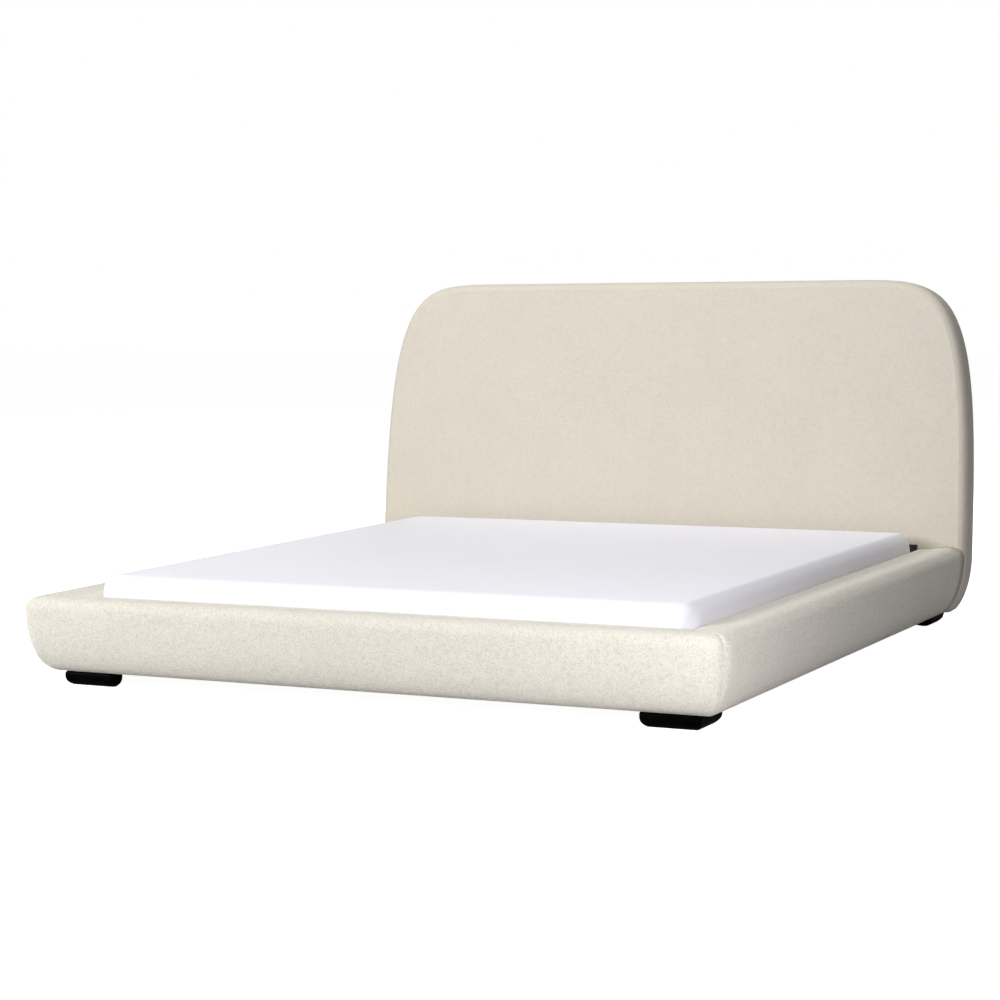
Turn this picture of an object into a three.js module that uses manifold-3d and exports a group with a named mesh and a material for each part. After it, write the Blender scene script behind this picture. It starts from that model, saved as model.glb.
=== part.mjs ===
// King-size platform bed with an upholstered headboard. Units mm, +Z up, +Y towards the headboard.
import * as THREE from 'three';
import { mergeVertices } from 'three/addons/utils/BufferGeometryUtils.js';
import Module from 'manifold-3d';

const wasm = await Module();
wasm.setup();

// Clearance between pieces that touch in the real bed.
const GAP = 0.3;
const FOAM_GAP = 0.8;

// Mattress: a standard king, and the room around it.
const MATTRESS_WIDTH = 1930;
const MATTRESS_LENGTH = 2030;
const MATTRESS_THICKNESS = 220;
const MATTRESS_TOP = 323;
const MATTRESS_CORNER_RADIUS = 42;
const MATTRESS_EDGE_RADIUS = 38;
const MATTRESS_COVER_THICKNESS = 3;
const MATTRESS_COVER_LAP = 150;
const SIDE_CLEARANCE = 3;
const FOOT_CLEARANCE = 4;
const HEAD_CLEARANCE = 16;

// Rail section: a soft wide top, a rounded outer edge and a hull-shaped outer face.
const RAIL_WIDTH = 163;
const RAIL_BOTTOM = 41;
const RAIL_WIDEST = 233;
const RAIL_TOP = 269;
const RAIL_CROWN_DROP = 9;
const RAIL_TOP_ROUND = 44;
const RAIL_INNER_ROUND = 15;
const RAIL_HULL_DEPTH = 90;
const RAIL_CORNER_RADIUS = 45;
const RAIL_BASE_ROUND = 4;

// Upholstery of the rails over a hollow plywood box frame.
const COVER_THICKNESS = 2;
const COVER_TURN_UNDER = 22;
const INNER_FOAM = 6;
const TOP_FOAM = 34;
const OUTER_FOAM = 34;
const FRAME_TAPER_TOP = 112;
const FRAME_WALL = 18;
const FRAME_BASE_SETBACK = 3;

// Headboard: leans back, top corners are superellipses, lower corners follow the rails.
const HEAD_LEAN = 6.25 * Math.PI / 180;
const HEAD_THICKNESS = 97;
const HEAD_TOP = 1192;
const HEAD_CORNER_X = 594;
const HEAD_CORNER_DROP = 1533;
const HEAD_CORNER_EXPONENT = 5.6;
const HEAD_EDGE_ROUND = 32;
const HEAD_FOAM = 38;
const HEAD_BOARD = 12;
const HEAD_SIDE_FOAM = 10;
const HEAD_STILE = 250;
const HEAD_CROSS_RAIL = 110;
const HEAD_BACK_PANEL = 3;
const HEAD_BACK_INSET = 8;

// Corner-block feet: a right angle at the bed's corner, a diagonal inner face, and sides
// that curve in towards the floor. FOOT_END is the width left at each end of the diagonal.
const FOOT_WIDTH = 184;
const FOOT_DEPTH = 172;
const FOOT_SIDE_SETBACK = 103;
const FOOT_FRONT_OVERHANG = 14;
const FOOT_HEAD_REACH = 45;
const FOOT_END = 44;
const FOOT_CORNER_ROUND = 6;
const FOOT_END_ROUND = 22;
const FOOT_TAPER = 10;
const PAD_THICKNESS = 2;
const PAD_INSET = 6;

// Slat deck.
const SLAT_COUNT = 12;
const SLAT_WIDTH = 90;
const SLAT_THICKNESS = 18;
const SLAT_END_CLEARANCE = 6;
const LEDGER_WIDTH = 30;
const LEDGER_HEIGHT = 40;
const BEAM_WIDTH = 60;
const BEAM_HEIGHT = 45;
const HANGER_PLATE = 3;
const HANGER_REACH = 45;

// Centre legs with screw-in glides.
const LEG_COUNT = 2;
const LEG_SIZE = 60;
const LEG_BOTTOM = 16;
const GLIDE_PAD_RADIUS = 20;
const GLIDE_PAD_HEIGHT = 8;
const GLIDE_STEM_RADIUS = 5;
const GLIDE_STEM_CLEARANCE = 0.08;
const GLIDE_STEM_TOP = 31;
const GLIDE_BORE_TOP = 40;

// Corner brackets and their bolts.
const BRACKET_PLATE = 4;
const BRACKET_LEG = 60;
const FOOT_BRACKET_BOTTOM = 46;
const FOOT_BRACKET_TOP = 84;
const HEAD_BRACKET_SIDE_LEG = 22;
const HEAD_BRACKET_BOTTOM = 150;
const HEAD_BRACKET_TOP = 275;
const BOLT_RADIUS = 4;
const BOLT_HEAD_RADIUS = 8;
const BOLT_HEAD_HEIGHT = 3;
const BOLT_CLEARANCE = 0.4;
const BOLT_ALONG = 38;
const BOLT_ALONG_SHORT_LEG = 13;
const RAIL_BOLT_LENGTH = 34;
const HEAD_BOLT_LENGTH = 80;

// Derived positions, measured from the inner edge of the foot rail before the final centring.
const INNER_X = MATTRESS_WIDTH / 2 + SIDE_CLEARANCE;
const OUTER_X = INNER_X + RAIL_WIDTH;
const FOOT_OUTER_X = OUTER_X - FOOT_SIDE_SETBACK;
const OPENING_LENGTH = MATTRESS_LENGTH + FOOT_CLEARANCE + HEAD_CLEARANCE;
const MATTRESS_BOTTOM = MATTRESS_TOP - MATTRESS_THICKNESS;
const SLAT_TOP = MATTRESS_BOTTOM - GAP;
const LEDGER_TOP = SLAT_TOP - SLAT_THICKNESS - GAP;
const headFaceY = (z) => OPENING_LENGTH + z * Math.tan(HEAD_LEAN);

const FABRIC = { color: 0xe2dccb, roughness: 0.95, metalness: 0 };
const WHITE_FABRIC = { color: 0xf0f0f2, roughness: 0.9, metalness: 0 };
const FOAM = { color: 0xe8dfae, roughness: 0.95, metalness: 0 };
const WOOD = { color: 0xc9a678, roughness: 0.7, metalness: 0 };
const BLACK_WOOD = { color: 0x0c0c0d, roughness: 0.45, metalness: 0 };
const BLACK_STEEL = { color: 0x16161a, roughness: 0.45, metalness: 0.8 };
const ZINC = { color: 0xb4b6b8, roughness: 0.35, metalness: 0.9 };
const PLASTIC = { color: 0x1a1a1a, roughness: 0.6, metalness: 0 };
const FELT = { color: 0x2a2826, roughness: 0.95, metalness: 0 };

// ---------------------------------------------------------------- helpers

function toManifold(geometry) {
  const bare = geometry.clone();
  bare.deleteAttribute('normal');
  bare.deleteAttribute('uv');
  const merged = mergeVertices(bare, 1e-4);
  const mesh = new wasm.Mesh({
    numProp: 3,
    vertProperties: new Float32Array(merged.attributes.position.array),
    triVerts: new Uint32Array(merged.index.array),
  });
  return new wasm.Manifold(mesh);
}

function fromManifold(solid) {
  const mesh = solid.getMesh();
  const geometry = new THREE.BufferGeometry();
  geometry.setAttribute('position', new THREE.BufferAttribute(mesh.vertProperties, 3));
  geometry.setIndex(new THREE.BufferAttribute(mesh.triVerts, 1));
  geometry.computeVertexNormals();
  return geometry;
}

function subtractAll(geometry, cutters) {
  let solid = toManifold(geometry);
  for (const cutter of cutters) {
    solid = solid.subtract(toManifold(cutter));
  }
  return fromManifold(solid);
}

function joinAll(geometries) {
  let solid = toManifold(geometries[0]);
  for (const geometry of geometries.slice(1)) {
    solid = solid.add(toManifold(geometry));
  }
  return fromManifold(solid);
}

function boxBetween(low, high) {
  const size = high.map((value, axis) => value - low[axis]);
  const geometry = new THREE.BoxGeometry(...size);
  return geometry.translate(...low.map((value, axis) => value + size[axis] / 2));
}

function shapeOf(points) {
  return new THREE.Shape(points.map(([x, y]) => new THREE.Vector2(x, y)));
}

function extrude(points, depth, steps = 1) {
  return new THREE.ExtrudeGeometry(shapeOf(points), { depth, steps, bevelEnabled: false });
}

// Mirror across the bed's centre plane, keeping the faces outward.
function mirrored(geometry) {
  const flat = geometry.index ? geometry.toNonIndexed() : geometry;
  const position = flat.attributes.position;
  const copy = new Float32Array(position.array);
  for (let corner = 0; corner < position.count; corner += 3) {
    for (const [to, from] of [[0, 0], [1, 2], [2, 1]]) {
      copy[3 * (corner + to)] = -position.getX(corner + from);
      copy[3 * (corner + to) + 1] = position.getY(corner + from);
      copy[3 * (corner + to) + 2] = position.getZ(corner + from);
    }
  }
  const out = new THREE.BufferGeometry();
  out.setAttribute('position', new THREE.BufferAttribute(copy, 3));
  return mergeVertices(out, 1e-4);
}

// Shift a path sideways by a distance to its left, with mitred corners.
function shifted(points, distance, closed) {
  const count = points.length;
  return points.map((point, index) => {
    const before = points[closed ? (index + count - 1) % count : Math.max(index - 1, 0)];
    const after = points[closed ? (index + 1) % count : Math.min(index + 1, count - 1)];
    const normals = [];
    for (const [a, b] of [[before, point], [point, after]]) {
      const length = Math.hypot(b[0] - a[0], b[1] - a[1]);
      if (length > 0) {
        normals.push([-(b[1] - a[1]) / length, (b[0] - a[0]) / length]);
      }
    }
    const first = normals[0];
    const last = normals[normals.length - 1];
    const scale = 1 + first[0] * last[0] + first[1] * last[1];
    return [
      point[0] + distance * (first[0] + last[0]) / scale,
      point[1] + distance * (first[1] + last[1]) / scale,
    ];
  });
}

// ---------------------------------------------------------------- rails

// The rail's skin line as [distance in from the outer face, height], from the outer base
// over the top to the inner base.
function railSkinLine() {
  const line = [];
  const hull = RAIL_WIDEST - RAIL_BOTTOM;
  const hullSteps = 9;
  for (let step = 0; step <= hullSteps; step += 1) {
    const angle = (1 - step / hullSteps) * Math.PI / 2;
    line.push([RAIL_HULL_DEPTH * (1 - Math.cos(angle)), RAIL_WIDEST - hull * Math.sin(angle)]);
  }
  const topSteps = 6;
  for (let step = 1; step <= topSteps; step += 1) {
    const angle = step / topSteps * Math.PI / 2;
    const height = RAIL_WIDEST + (RAIL_TOP - RAIL_WIDEST) * Math.sin(angle);
    line.push([RAIL_TOP_ROUND * (1 - Math.cos(angle)), height]);
  }
  const crownSteps = 4;
  const crownRun = RAIL_WIDTH - RAIL_INNER_ROUND - RAIL_TOP_ROUND;
  for (let step = 1; step <= crownSteps; step += 1) {
    const along = step / crownSteps;
    const drop = RAIL_CROWN_DROP * (1 - Math.cos(Math.PI * along)) / 2;
    line.push([RAIL_TOP_ROUND + crownRun * along, RAIL_TOP - drop]);
  }
  const innerSteps = 4;
  const innerTop = RAIL_TOP - RAIL_CROWN_DROP;
  for (let step = 1; step <= innerSteps; step += 1) {
    const angle = step / innerSteps * Math.PI / 2;
    line.push([
      RAIL_WIDTH - RAIL_INNER_ROUND * (1 - Math.sin(angle)),
      innerTop - RAIL_INNER_ROUND * (1 - Math.cos(angle)),
    ]);
  }
  line.push([RAIL_WIDTH, RAIL_BOTTOM + RAIL_BASE_ROUND]);
  line.push([RAIL_WIDTH - RAIL_BASE_ROUND, RAIL_BOTTOM]);
  return line;
}

// Outline of the hollow frame, clockwise from its outer lower corner.
function railFrameLine() {
  const inner = RAIL_WIDTH - COVER_THICKNESS - GAP - INNER_FOAM;
  const base = RAIL_BOTTOM + COVER_THICKNESS + GAP;
  const top = RAIL_TOP - RAIL_CROWN_DROP - TOP_FOAM;
  return [
    [RAIL_HULL_DEPTH + FRAME_BASE_SETBACK, base],
    [OUTER_FOAM, FRAME_TAPER_TOP],
    [OUTER_FOAM, top],
    [inner, top],
    [inner, base],
  ];
}

function railCoverSection() {
  const skin = railSkinLine();
  const turnedUnder = [
    [RAIL_HULL_DEPTH + COVER_TURN_UNDER, RAIL_BOTTOM],
    ...skin,
    [RAIL_WIDTH - RAIL_BASE_ROUND - COVER_TURN_UNDER, RAIL_BOTTOM],
  ];
  return [...turnedUnder, ...shifted(turnedUnder, -COVER_THICKNESS, false).reverse()];
}

function railFoamSection() {
  const base = RAIL_BOTTOM + COVER_THICKNESS + GAP;
  const outside = shifted(railSkinLine(), -(COVER_THICKNESS + FOAM_GAP), false);
  outside[0][1] = base;
  outside[outside.length - 1][1] = base;
  return [...outside, ...railFrameLine().reverse()];
}

function railFrameSection() {
  return shifted(railFrameLine(), -FOAM_GAP, true);
}

// Corner zone of a rail as [past the inner corner, outward], at an inset from the outer
// face. The line runs straight, then turns 45 degrees round the corner to the mitre.
const CORNER_START = -60;
const CORNER_TURN = 12;
const CORNER_STEPS = 6;

function cornerPoint(inset, station) {
  const centre = RAIL_WIDTH - RAIL_CORNER_RADIUS;
  const radius = Math.max(RAIL_CORNER_RADIUS - inset, 0);
  const turnAt = Math.min(centre, RAIL_WIDTH - inset);
  if (station === 0) {
    return [CORNER_START, RAIL_WIDTH - inset];
  }
  const arc = radius * Math.PI / 4;
  const along = (station - 1) / CORNER_STEPS * (CORNER_TURN + arc);
  if (along <= CORNER_TURN || radius === 0) {
    return [turnAt - CORNER_TURN + along, RAIL_WIDTH - inset];
  }
  const angle = (along - CORNER_TURN) / radius;
  return [centre + radius * Math.sin(angle), centre + radius * Math.cos(angle)];
}

const CORNER_STATIONS = CORNER_STEPS + 2;

// Sweep a section given as [inset, height] through stations; place maps each point.
function sweep(section, holes, stations, place) {
  const shape = shapeOf(section);
  for (const hole of holes) {
    shape.holes.push(new THREE.Path(hole.map(([x, y]) => new THREE.Vector2(x, y))));
  }
  const steps = stations - 1;
  const geometry = new THREE.ExtrudeGeometry(shape, { depth: steps, steps, bevelEnabled: false });
  const position = geometry.attributes.position;
  for (let index = 0; index < position.count; index += 1) {
    const inset = position.getX(index);
    const height = position.getY(index);
    const station = Math.round(position.getZ(index));
    position.setXYZ(index, ...place(inset, height, station));
  }
  geometry.deleteAttribute('normal');
  geometry.deleteAttribute('uv');
  return mergeVertices(geometry, 1e-4);
}

function footRailPiece(section, holes = []) {
  const stations = 2 * CORNER_STATIONS;
  return sweep(section, holes, stations, (inset, height, station) => {
    const left = station < CORNER_STATIONS;
    const local = left ? CORNER_STATIONS - 1 - station : station - CORNER_STATIONS;
    const [past, outward] = cornerPoint(inset, local);
    const x = INNER_X + past - GAP / 2;
    return [left ? -x : x, -outward, height];
  });
}

// The right side rail; its head end is cut to the headboard's lean.
function sideRailPiece(section, holes = []) {
  const stations = CORNER_STATIONS + 1;
  return sweep(section, holes, stations, (inset, height, station) => {
    if (station === stations - 1) {
      return [OUTER_X - inset, headFaceY(height) - GAP, height];
    }
    const [past, outward] = cornerPoint(inset, CORNER_STATIONS - 1 - station);
    return [INNER_X + outward, -past + GAP / 2, height];
  });
}

function railPieces() {
  const hollow = [shifted(railFrameLine(), -(GAP + FRAME_WALL), true).reverse()];
  const foot = {
    foot_rail_cover: footRailPiece(railCoverSection()),
    foot_rail_foam: footRailPiece(railFoamSection()),
    foot_rail_frame: footRailPiece(railFrameSection(), hollow),
  };
  const right = {
    cover: sideRailPiece(railCoverSection()),
    foam: sideRailPiece(railFoamSection()),
    frame: sideRailPiece(railFrameSection(), hollow),
  };
  return { foot, right };
}

// ---------------------------------------------------------------- headboard

// Outline in the headboard's own plane as [x, distance up the slope], counter-clockwise
// from the bottom left. It is cut level at the bottom afterwards.
function headOutline() {
  const half = [];
  const bottom = RAIL_BOTTOM - HEAD_THICKNESS * Math.tan(HEAD_LEAN);
  const corner = OUTER_X + 3;
  const hullSteps = 8;
  const widest = RAIL_WIDEST + 10;
  half.push([corner - RAIL_HULL_DEPTH - 6, bottom]);
  for (let step = 0; step <= hullSteps; step += 1) {
    const angle = (1 - step / hullSteps) * Math.PI / 2;
    const height = widest - (widest - RAIL_BOTTOM) * Math.sin(angle);
    half.push([corner - RAIL_HULL_DEPTH * (1 - Math.cos(angle)), height]);
  }
  const centre = HEAD_TOP - HEAD_CORNER_DROP;
  const reach = corner - HEAD_CORNER_X;
  const power = 2 / HEAD_CORNER_EXPONENT;
  const start = Math.asin(Math.pow((widest + 60 - centre) / HEAD_CORNER_DROP, 1 / power));
  const cornerSteps = 26;
  for (let step = 0; step < cornerSteps; step += 1) {
    const angle = start + (Math.PI / 2 - start) * (1 - Math.pow(1 - step / cornerSteps, 1.35));
    half.push([
      HEAD_CORNER_X + reach * Math.pow(Math.cos(angle), power),
      centre + HEAD_CORNER_DROP * Math.pow(Math.sin(angle), power),
    ]);
  }
  half.push([HEAD_CORNER_X, HEAD_TOP]);
  const left = half.map(([x, y]) => [-x, y]).reverse();
  return [...half, ...left];
}

// From the headboard's own plane (x, up the slope, out of the front) to the bed.
function toHeadPlane(geometry) {
  const across = new THREE.Vector3(1, 0, 0);
  const up = new THREE.Vector3(0, Math.sin(HEAD_LEAN), Math.cos(HEAD_LEAN));
  const front = new THREE.Vector3().crossVectors(across, up);
  const basis = new THREE.Matrix4().makeBasis(across, up, front);
  return geometry.applyMatrix4(basis.setPosition(0, OPENING_LENGTH, 0));
}

// A layer of the headboard between two depths behind its front face.
function headLayer(inset, from, to, base) {
  const outline = shifted(headOutline(), inset, true);
  const layer = extrude(outline, to - from).translate(0, 0, -to);
  return cutLevel(toHeadPlane(layer), base);
}

// The padded outer form: rounded front edge, square back edge.
function headForm(inset, from, to, base) {
  const round = HEAD_EDGE_ROUND - inset / 2;
  const outline = shifted(headOutline(), inset, true);
  const form = new THREE.ExtrudeGeometry(shapeOf(outline), {
    depth: 2 * HEAD_THICKNESS,
    bevelEnabled: true,
    bevelThickness: round,
    bevelSize: round,
    bevelOffset: -round,
    bevelSegments: 4,
    steps: 1,
  });
  form.translate(0, 0, -(2 * HEAD_THICKNESS + round) - from);
  const wide = 2 * OUTER_X;
  const deep = 4 * HEAD_THICKNESS;
  const behind = boxBetween([-wide, -HEAD_TOP, -to - deep], [wide, 2 * HEAD_TOP, -to]);
  return cutLevel(toHeadPlane(subtractAll(form, [behind])), base);
}

function cutLevel(geometry, base) {
  const wide = 2 * OUTER_X;
  const deep = 4 * HEAD_THICKNESS;
  const low = [-wide, OPENING_LENGTH - deep, base - 2 * HEAD_TOP];
  const high = [wide, OPENING_LENGTH + HEAD_TOP, base];
  return subtractAll(geometry, [boxBetween(low, high)]);
}

// Drilled straight back from the front face at [x, up the slope].
function headHole(x, up, radius, from, to) {
  const hole = new THREE.CylinderGeometry(radius, radius, to - from, 20);
  hole.rotateX(Math.PI / 2).translate(x, up, -(from + to) / 2);
  return toHeadPlane(hole);
}

function headboardPieces() {
  const base = RAIL_BOTTOM + GAP;
  const skin = COVER_THICKNESS;
  const inside = skin + GAP;
  const coverBack = HEAD_THICKNESS - HEAD_BACK_PANEL - GAP;
  const boardFront = inside + HEAD_FOAM + GAP;
  const frameFront = boardFront + HEAD_BOARD + GAP;
  const core = inside + HEAD_SIDE_FOAM;
  const coreBase = base + core;
  const holes = headBoltPlaces().map(([x, up]) => (
    headHole(x, up, BOLT_RADIUS + BOLT_CLEARANCE, -50, HEAD_BOLT_LENGTH + 5)
  ));

  const coverHollow = headForm(skin, skin, HEAD_THICKNESS + 60, base + skin);
  const cover = subtractAll(headForm(0, 0, coverBack, base), [coverHollow, ...holes]);

  const coreRoom = headLayer(core, boardFront - GAP, HEAD_THICKNESS + 60, coreBase - GAP);
  const padding = headForm(inside, inside, coverBack, base + inside);
  const foam = subtractAll(padding, [coreRoom, ...holes]);

  const board = headLayer(core + GAP, boardFront, boardFront + HEAD_BOARD, coreBase);
  const frameBlank = headLayer(core + GAP, frameFront, coverBack, coreBase);
  const windows = headFrameWindows(frameFront, coverBack);
  const frame = subtractAll(frameBlank, [...windows, ...holes]);

  const backFrom = coverBack + GAP;
  const back = headLayer(HEAD_BACK_INSET, backFrom, HEAD_THICKNESS, base + HEAD_BACK_INSET);
  return {
    headboard_cover: cover,
    headboard_foam: foam,
    headboard_board: subtractAll(board, holes),
    headboard_frame: frame,
    headboard_back_panel: back,
  };
}

// Openings of the headboard's inner frame: three bays above a deep lower rail.
function headFrameWindows(from, to) {
  const low = RAIL_TOP + HEAD_CROSS_RAIL;
  const high = HEAD_TOP - HEAD_CROSS_RAIL - HEAD_CORNER_DROP * 0.09;
  const half = OUTER_X - HEAD_STILE;
  const bays = 3;
  const bayWidth = (2 * half - (bays - 1) * HEAD_CROSS_RAIL) / bays;
  const windows = [];
  for (let bay = 0; bay < bays; bay += 1) {
    const left = -half + bay * (bayWidth + HEAD_CROSS_RAIL);
    const box = boxBetween([left, low, -to - 5], [left + bayWidth, high, -from + 5]);
    windows.push(toHeadPlane(box));
  }
  return windows;
}

// ---------------------------------------------------------------- brackets and bolts

const FOOT_BOLT_Z = (FOOT_BRACKET_BOTTOM + FOOT_BRACKET_TOP) / 2;
const HEAD_BOLT_Z = (HEAD_BRACKET_BOTTOM + HEAD_BRACKET_TOP) / 2;
const BOLT_X = INNER_X - GAP - BOLT_ALONG;
const SIDE_HEAD_BOLT_Y = headFaceY(HEAD_BOLT_Z) - GAP - BOLT_ALONG_SHORT_LEG;

function headBoltPlaces() {
  const up = HEAD_BOLT_Z / Math.cos(HEAD_LEAN);
  return [[BOLT_X, up], [-BOLT_X, up]];
}

// L-shaped corner bracket in plan: corner at [x, y], legs towards the bed's middle.
function bracketPlan(cornerX, cornerY, towardsY, sideLeg) {
  const plate = BRACKET_PLATE;
  const points = [
    [cornerX, cornerY],
    [cornerX, cornerY + towardsY * sideLeg],
    [cornerX - plate, cornerY + towardsY * sideLeg],
    [cornerX - plate, cornerY + towardsY * plate],
    [cornerX - BRACKET_LEG, cornerY + towardsY * plate],
    [cornerX - BRACKET_LEG, cornerY],
  ];
  return towardsY > 0 ? points : points.reverse();
}

function footBracket() {
  const plan = bracketPlan(INNER_X - GAP, GAP, 1, BRACKET_LEG);
  const body = extrude(plan, FOOT_BRACKET_TOP - FOOT_BRACKET_BOTTOM);
  body.translate(0, 0, FOOT_BRACKET_BOTTOM);
  const radius = BOLT_RADIUS + BOLT_CLEARANCE;
  return subtractAll(body, [
    cylinderAlong('x', radius, [INNER_X - 20, BOLT_ALONG + GAP, FOOT_BOLT_Z], 40),
    cylinderAlong('y', radius, [BOLT_X, -20, FOOT_BOLT_Z], 40),
  ]);
}

function headBracket() {
  const plan = bracketPlan(INNER_X - GAP, OPENING_LENGTH - GAP, -1, HEAD_BRACKET_SIDE_LEG);
  const body = extrude(plan, HEAD_BRACKET_TOP - HEAD_BRACKET_BOTTOM);
  body.translate(0, 0, HEAD_BRACKET_BOTTOM);
  const shear = new THREE.Matrix4().makeShear(0, 0, 0, 0, 0, Math.tan(HEAD_LEAN));
  body.applyMatrix4(shear);
  const radius = BOLT_RADIUS + BOLT_CLEARANCE;
  const up = HEAD_BOLT_Z / Math.cos(HEAD_LEAN);
  return subtractAll(body, [
    cylinderAlong('x', radius, [INNER_X - 20, SIDE_HEAD_BOLT_Y, HEAD_BOLT_Z], 40),
    headHole(BOLT_X, up, radius, -30, 30),
  ]);
}

// Cylinder of a length starting at a point and running along +x or +y.
function cylinderAlong(axis, radius, start, length) {
  const cylinder = new THREE.CylinderGeometry(radius, radius, length, 20);
  if (axis === 'x') {
    return cylinder.rotateZ(Math.PI / 2).translate(start[0] + length / 2, start[1], start[2]);
  }
  return cylinder.translate(start[0], start[1] + length / 2, start[2]);
}

// Bolt turned about its own axis, head down at 0, shank up; then aimed.
function boltBody(shankLength) {
  const head = BOLT_HEAD_HEIGHT;
  const profile = [
    [0, -head],
    [BOLT_HEAD_RADIUS * 0.8, -head],
    [BOLT_HEAD_RADIUS, -head * 0.4],
    [BOLT_HEAD_RADIUS, 0],
    [BOLT_RADIUS, 0],
    [BOLT_RADIUS, shankLength],
    [0, shankLength],
  ];
  const points = profile.map(([r, z]) => new THREE.Vector2(r, z));
  return new THREE.LatheGeometry(points, 20);
}

function boltPieces() {
  const stand = BRACKET_PLATE + 2 * GAP;
  const side = INNER_X - stand;
  const shank = RAIL_BOLT_LENGTH;
  const footBolt = boltBody(shank).rotateX(Math.PI).translate(BOLT_X, stand, FOOT_BOLT_Z);
  const footSideBolt = boltBody(shank).rotateZ(-Math.PI / 2);
  footSideBolt.translate(side, BOLT_ALONG + GAP, FOOT_BOLT_Z);
  const headSideBolt = boltBody(shank).rotateZ(-Math.PI / 2);
  headSideBolt.translate(side, SIDE_HEAD_BOLT_Y, HEAD_BOLT_Z);
  const headBolt = boltBody(HEAD_BOLT_LENGTH).rotateX(-Math.PI / 2);
  headBolt.translate(BOLT_X, HEAD_BOLT_Z / Math.cos(HEAD_LEAN), stand);
  return {
    bolt_foot: footBolt,
    bolt_foot_side: footSideBolt,
    bolt_head: toHeadPlane(headBolt),
    bolt_head_side: headSideBolt,
  };
}

// ---------------------------------------------------------------- slat deck

function ledger() {
  const low = LEDGER_TOP - LEDGER_HEIGHT;
  const from = BRACKET_LEG + 10;
  const to = headFaceY(low) - 2;
  const inner = INNER_X - GAP - LEDGER_WIDTH;
  return boxBetween([inner, from, low], [INNER_X - GAP, to, LEDGER_TOP]);
}

function slats() {
  const length = INNER_X - SLAT_END_CLEARANCE;
  const first = 25 + SLAT_WIDTH / 2;
  const last = OPENING_LENGTH - 5 - SLAT_WIDTH / 2;
  const pieces = {};
  for (let index = 0; index < SLAT_COUNT; index += 1) {
    const y = first + (last - first) * index / (SLAT_COUNT - 1);
    const low = [-length, y - SLAT_WIDTH / 2, SLAT_TOP - SLAT_THICKNESS];
    const high = [length, y + SLAT_WIDTH / 2, SLAT_TOP];
    pieces[`slat_${String(index + 1).padStart(2, '0')}`] = boxBetween(low, high);
  }
  return pieces;
}

const BEAM_BOTTOM = LEDGER_TOP - BEAM_HEIGHT;
const BEAM_FOOT_Y = GAP + HANGER_PLATE + GAP;
const BEAM_HEAD_Y = headFaceY(BEAM_BOTTOM - GAP - HANGER_PLATE) - BEAM_FOOT_Y;

function centreBeam() {
  const half = BEAM_WIDTH / 2;
  return boxBetween([-half, BEAM_FOOT_Y, BEAM_BOTTOM], [half, BEAM_HEAD_Y, LEDGER_TOP]);
}

// Cradle for a beam end; the back plate follows the face it is screwed to.
function beamHanger(faceY, into) {
  const inner = BEAM_WIDTH / 2 + GAP;
  const outer = inner + HANGER_PLATE;
  const low = BEAM_BOTTOM - GAP - HANGER_PLATE;
  const high = LEDGER_TOP - 4;
  const plateY = (z) => faceY(z) + into * GAP;
  const plate = [
    [low, plateY(low)],
    [high, plateY(high)],
    [high, plateY(low) + into * HANGER_PLATE],
    [low, plateY(low) + into * HANGER_PLATE],
  ];
  const upright = plate.map(([z, y]) => [y, z]);
  const backPlate = extrude(upright, 2 * outer);
  const basis = new THREE.Matrix4().makeBasis(
    new THREE.Vector3(0, 1, 0),
    new THREE.Vector3(0, 0, 1),
    new THREE.Vector3(1, 0, 0),
  );
  backPlate.applyMatrix4(basis).translate(-outer, 0, 0);
  const near = plateY(low) + into * HANGER_PLATE * 0.5;
  const far = plateY(low) + into * HANGER_REACH;
  const ys = [Math.min(near, far), Math.max(near, far)];
  return joinAll([
    backPlate,
    boxBetween([-outer, ys[0], low], [outer, ys[1], low + HANGER_PLATE]),
    boxBetween([-outer, ys[0], low], [-inner, ys[1], high]),
    boxBetween([inner, ys[0], low], [outer, ys[1], high]),
  ]);
}

function centreLeg(y) {
  const half = LEG_SIZE / 2;
  const body = boxBetween([-half, y - half, LEG_BOTTOM], [half, y + half, BEAM_BOTTOM - GAP]);
  const radius = GLIDE_STEM_RADIUS + GLIDE_STEM_CLEARANCE;
  const bore = new THREE.CylinderGeometry(radius, radius, GLIDE_BORE_TOP, 32);
  bore.rotateX(Math.PI / 2).translate(0, y, GLIDE_BORE_TOP / 2);
  return subtractAll(body, [bore]);
}

function centreGlide(y) {
  const profile = [
    [0, 0],
    [GLIDE_PAD_RADIUS - 1, 0],
    [GLIDE_PAD_RADIUS, 1],
    [GLIDE_PAD_RADIUS, GLIDE_PAD_HEIGHT - 1],
    [GLIDE_PAD_RADIUS - 1, GLIDE_PAD_HEIGHT],
    [GLIDE_STEM_RADIUS, GLIDE_PAD_HEIGHT],
    [GLIDE_STEM_RADIUS, GLIDE_STEM_TOP],
    [0, GLIDE_STEM_TOP],
  ];
  const points = profile.map(([r, z]) => new THREE.Vector2(r, z));
  return new THREE.LatheGeometry(points, 32).rotateX(Math.PI / 2).translate(0, y, 0);
}

// ---------------------------------------------------------------- feet

function roundedRectangle(width, depth, radius, steps) {
  const points = [];
  const centres = [[1, 1, 0], [-1, 1, 1], [-1, -1, 2], [1, -1, 3]];
  for (const [signX, signY, quarter] of centres) {
    for (let step = 0; step <= steps; step += 1) {
      const angle = (quarter + step / steps) * Math.PI / 2;
      points.push([
        signX * (width / 2 - radius) + radius * Math.cos(angle),
        signY * (depth / 2 - radius) + radius * Math.sin(angle),
      ]);
    }
  }
  return points;
}

const FOOT_ROUND_STEPS = 4;

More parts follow.
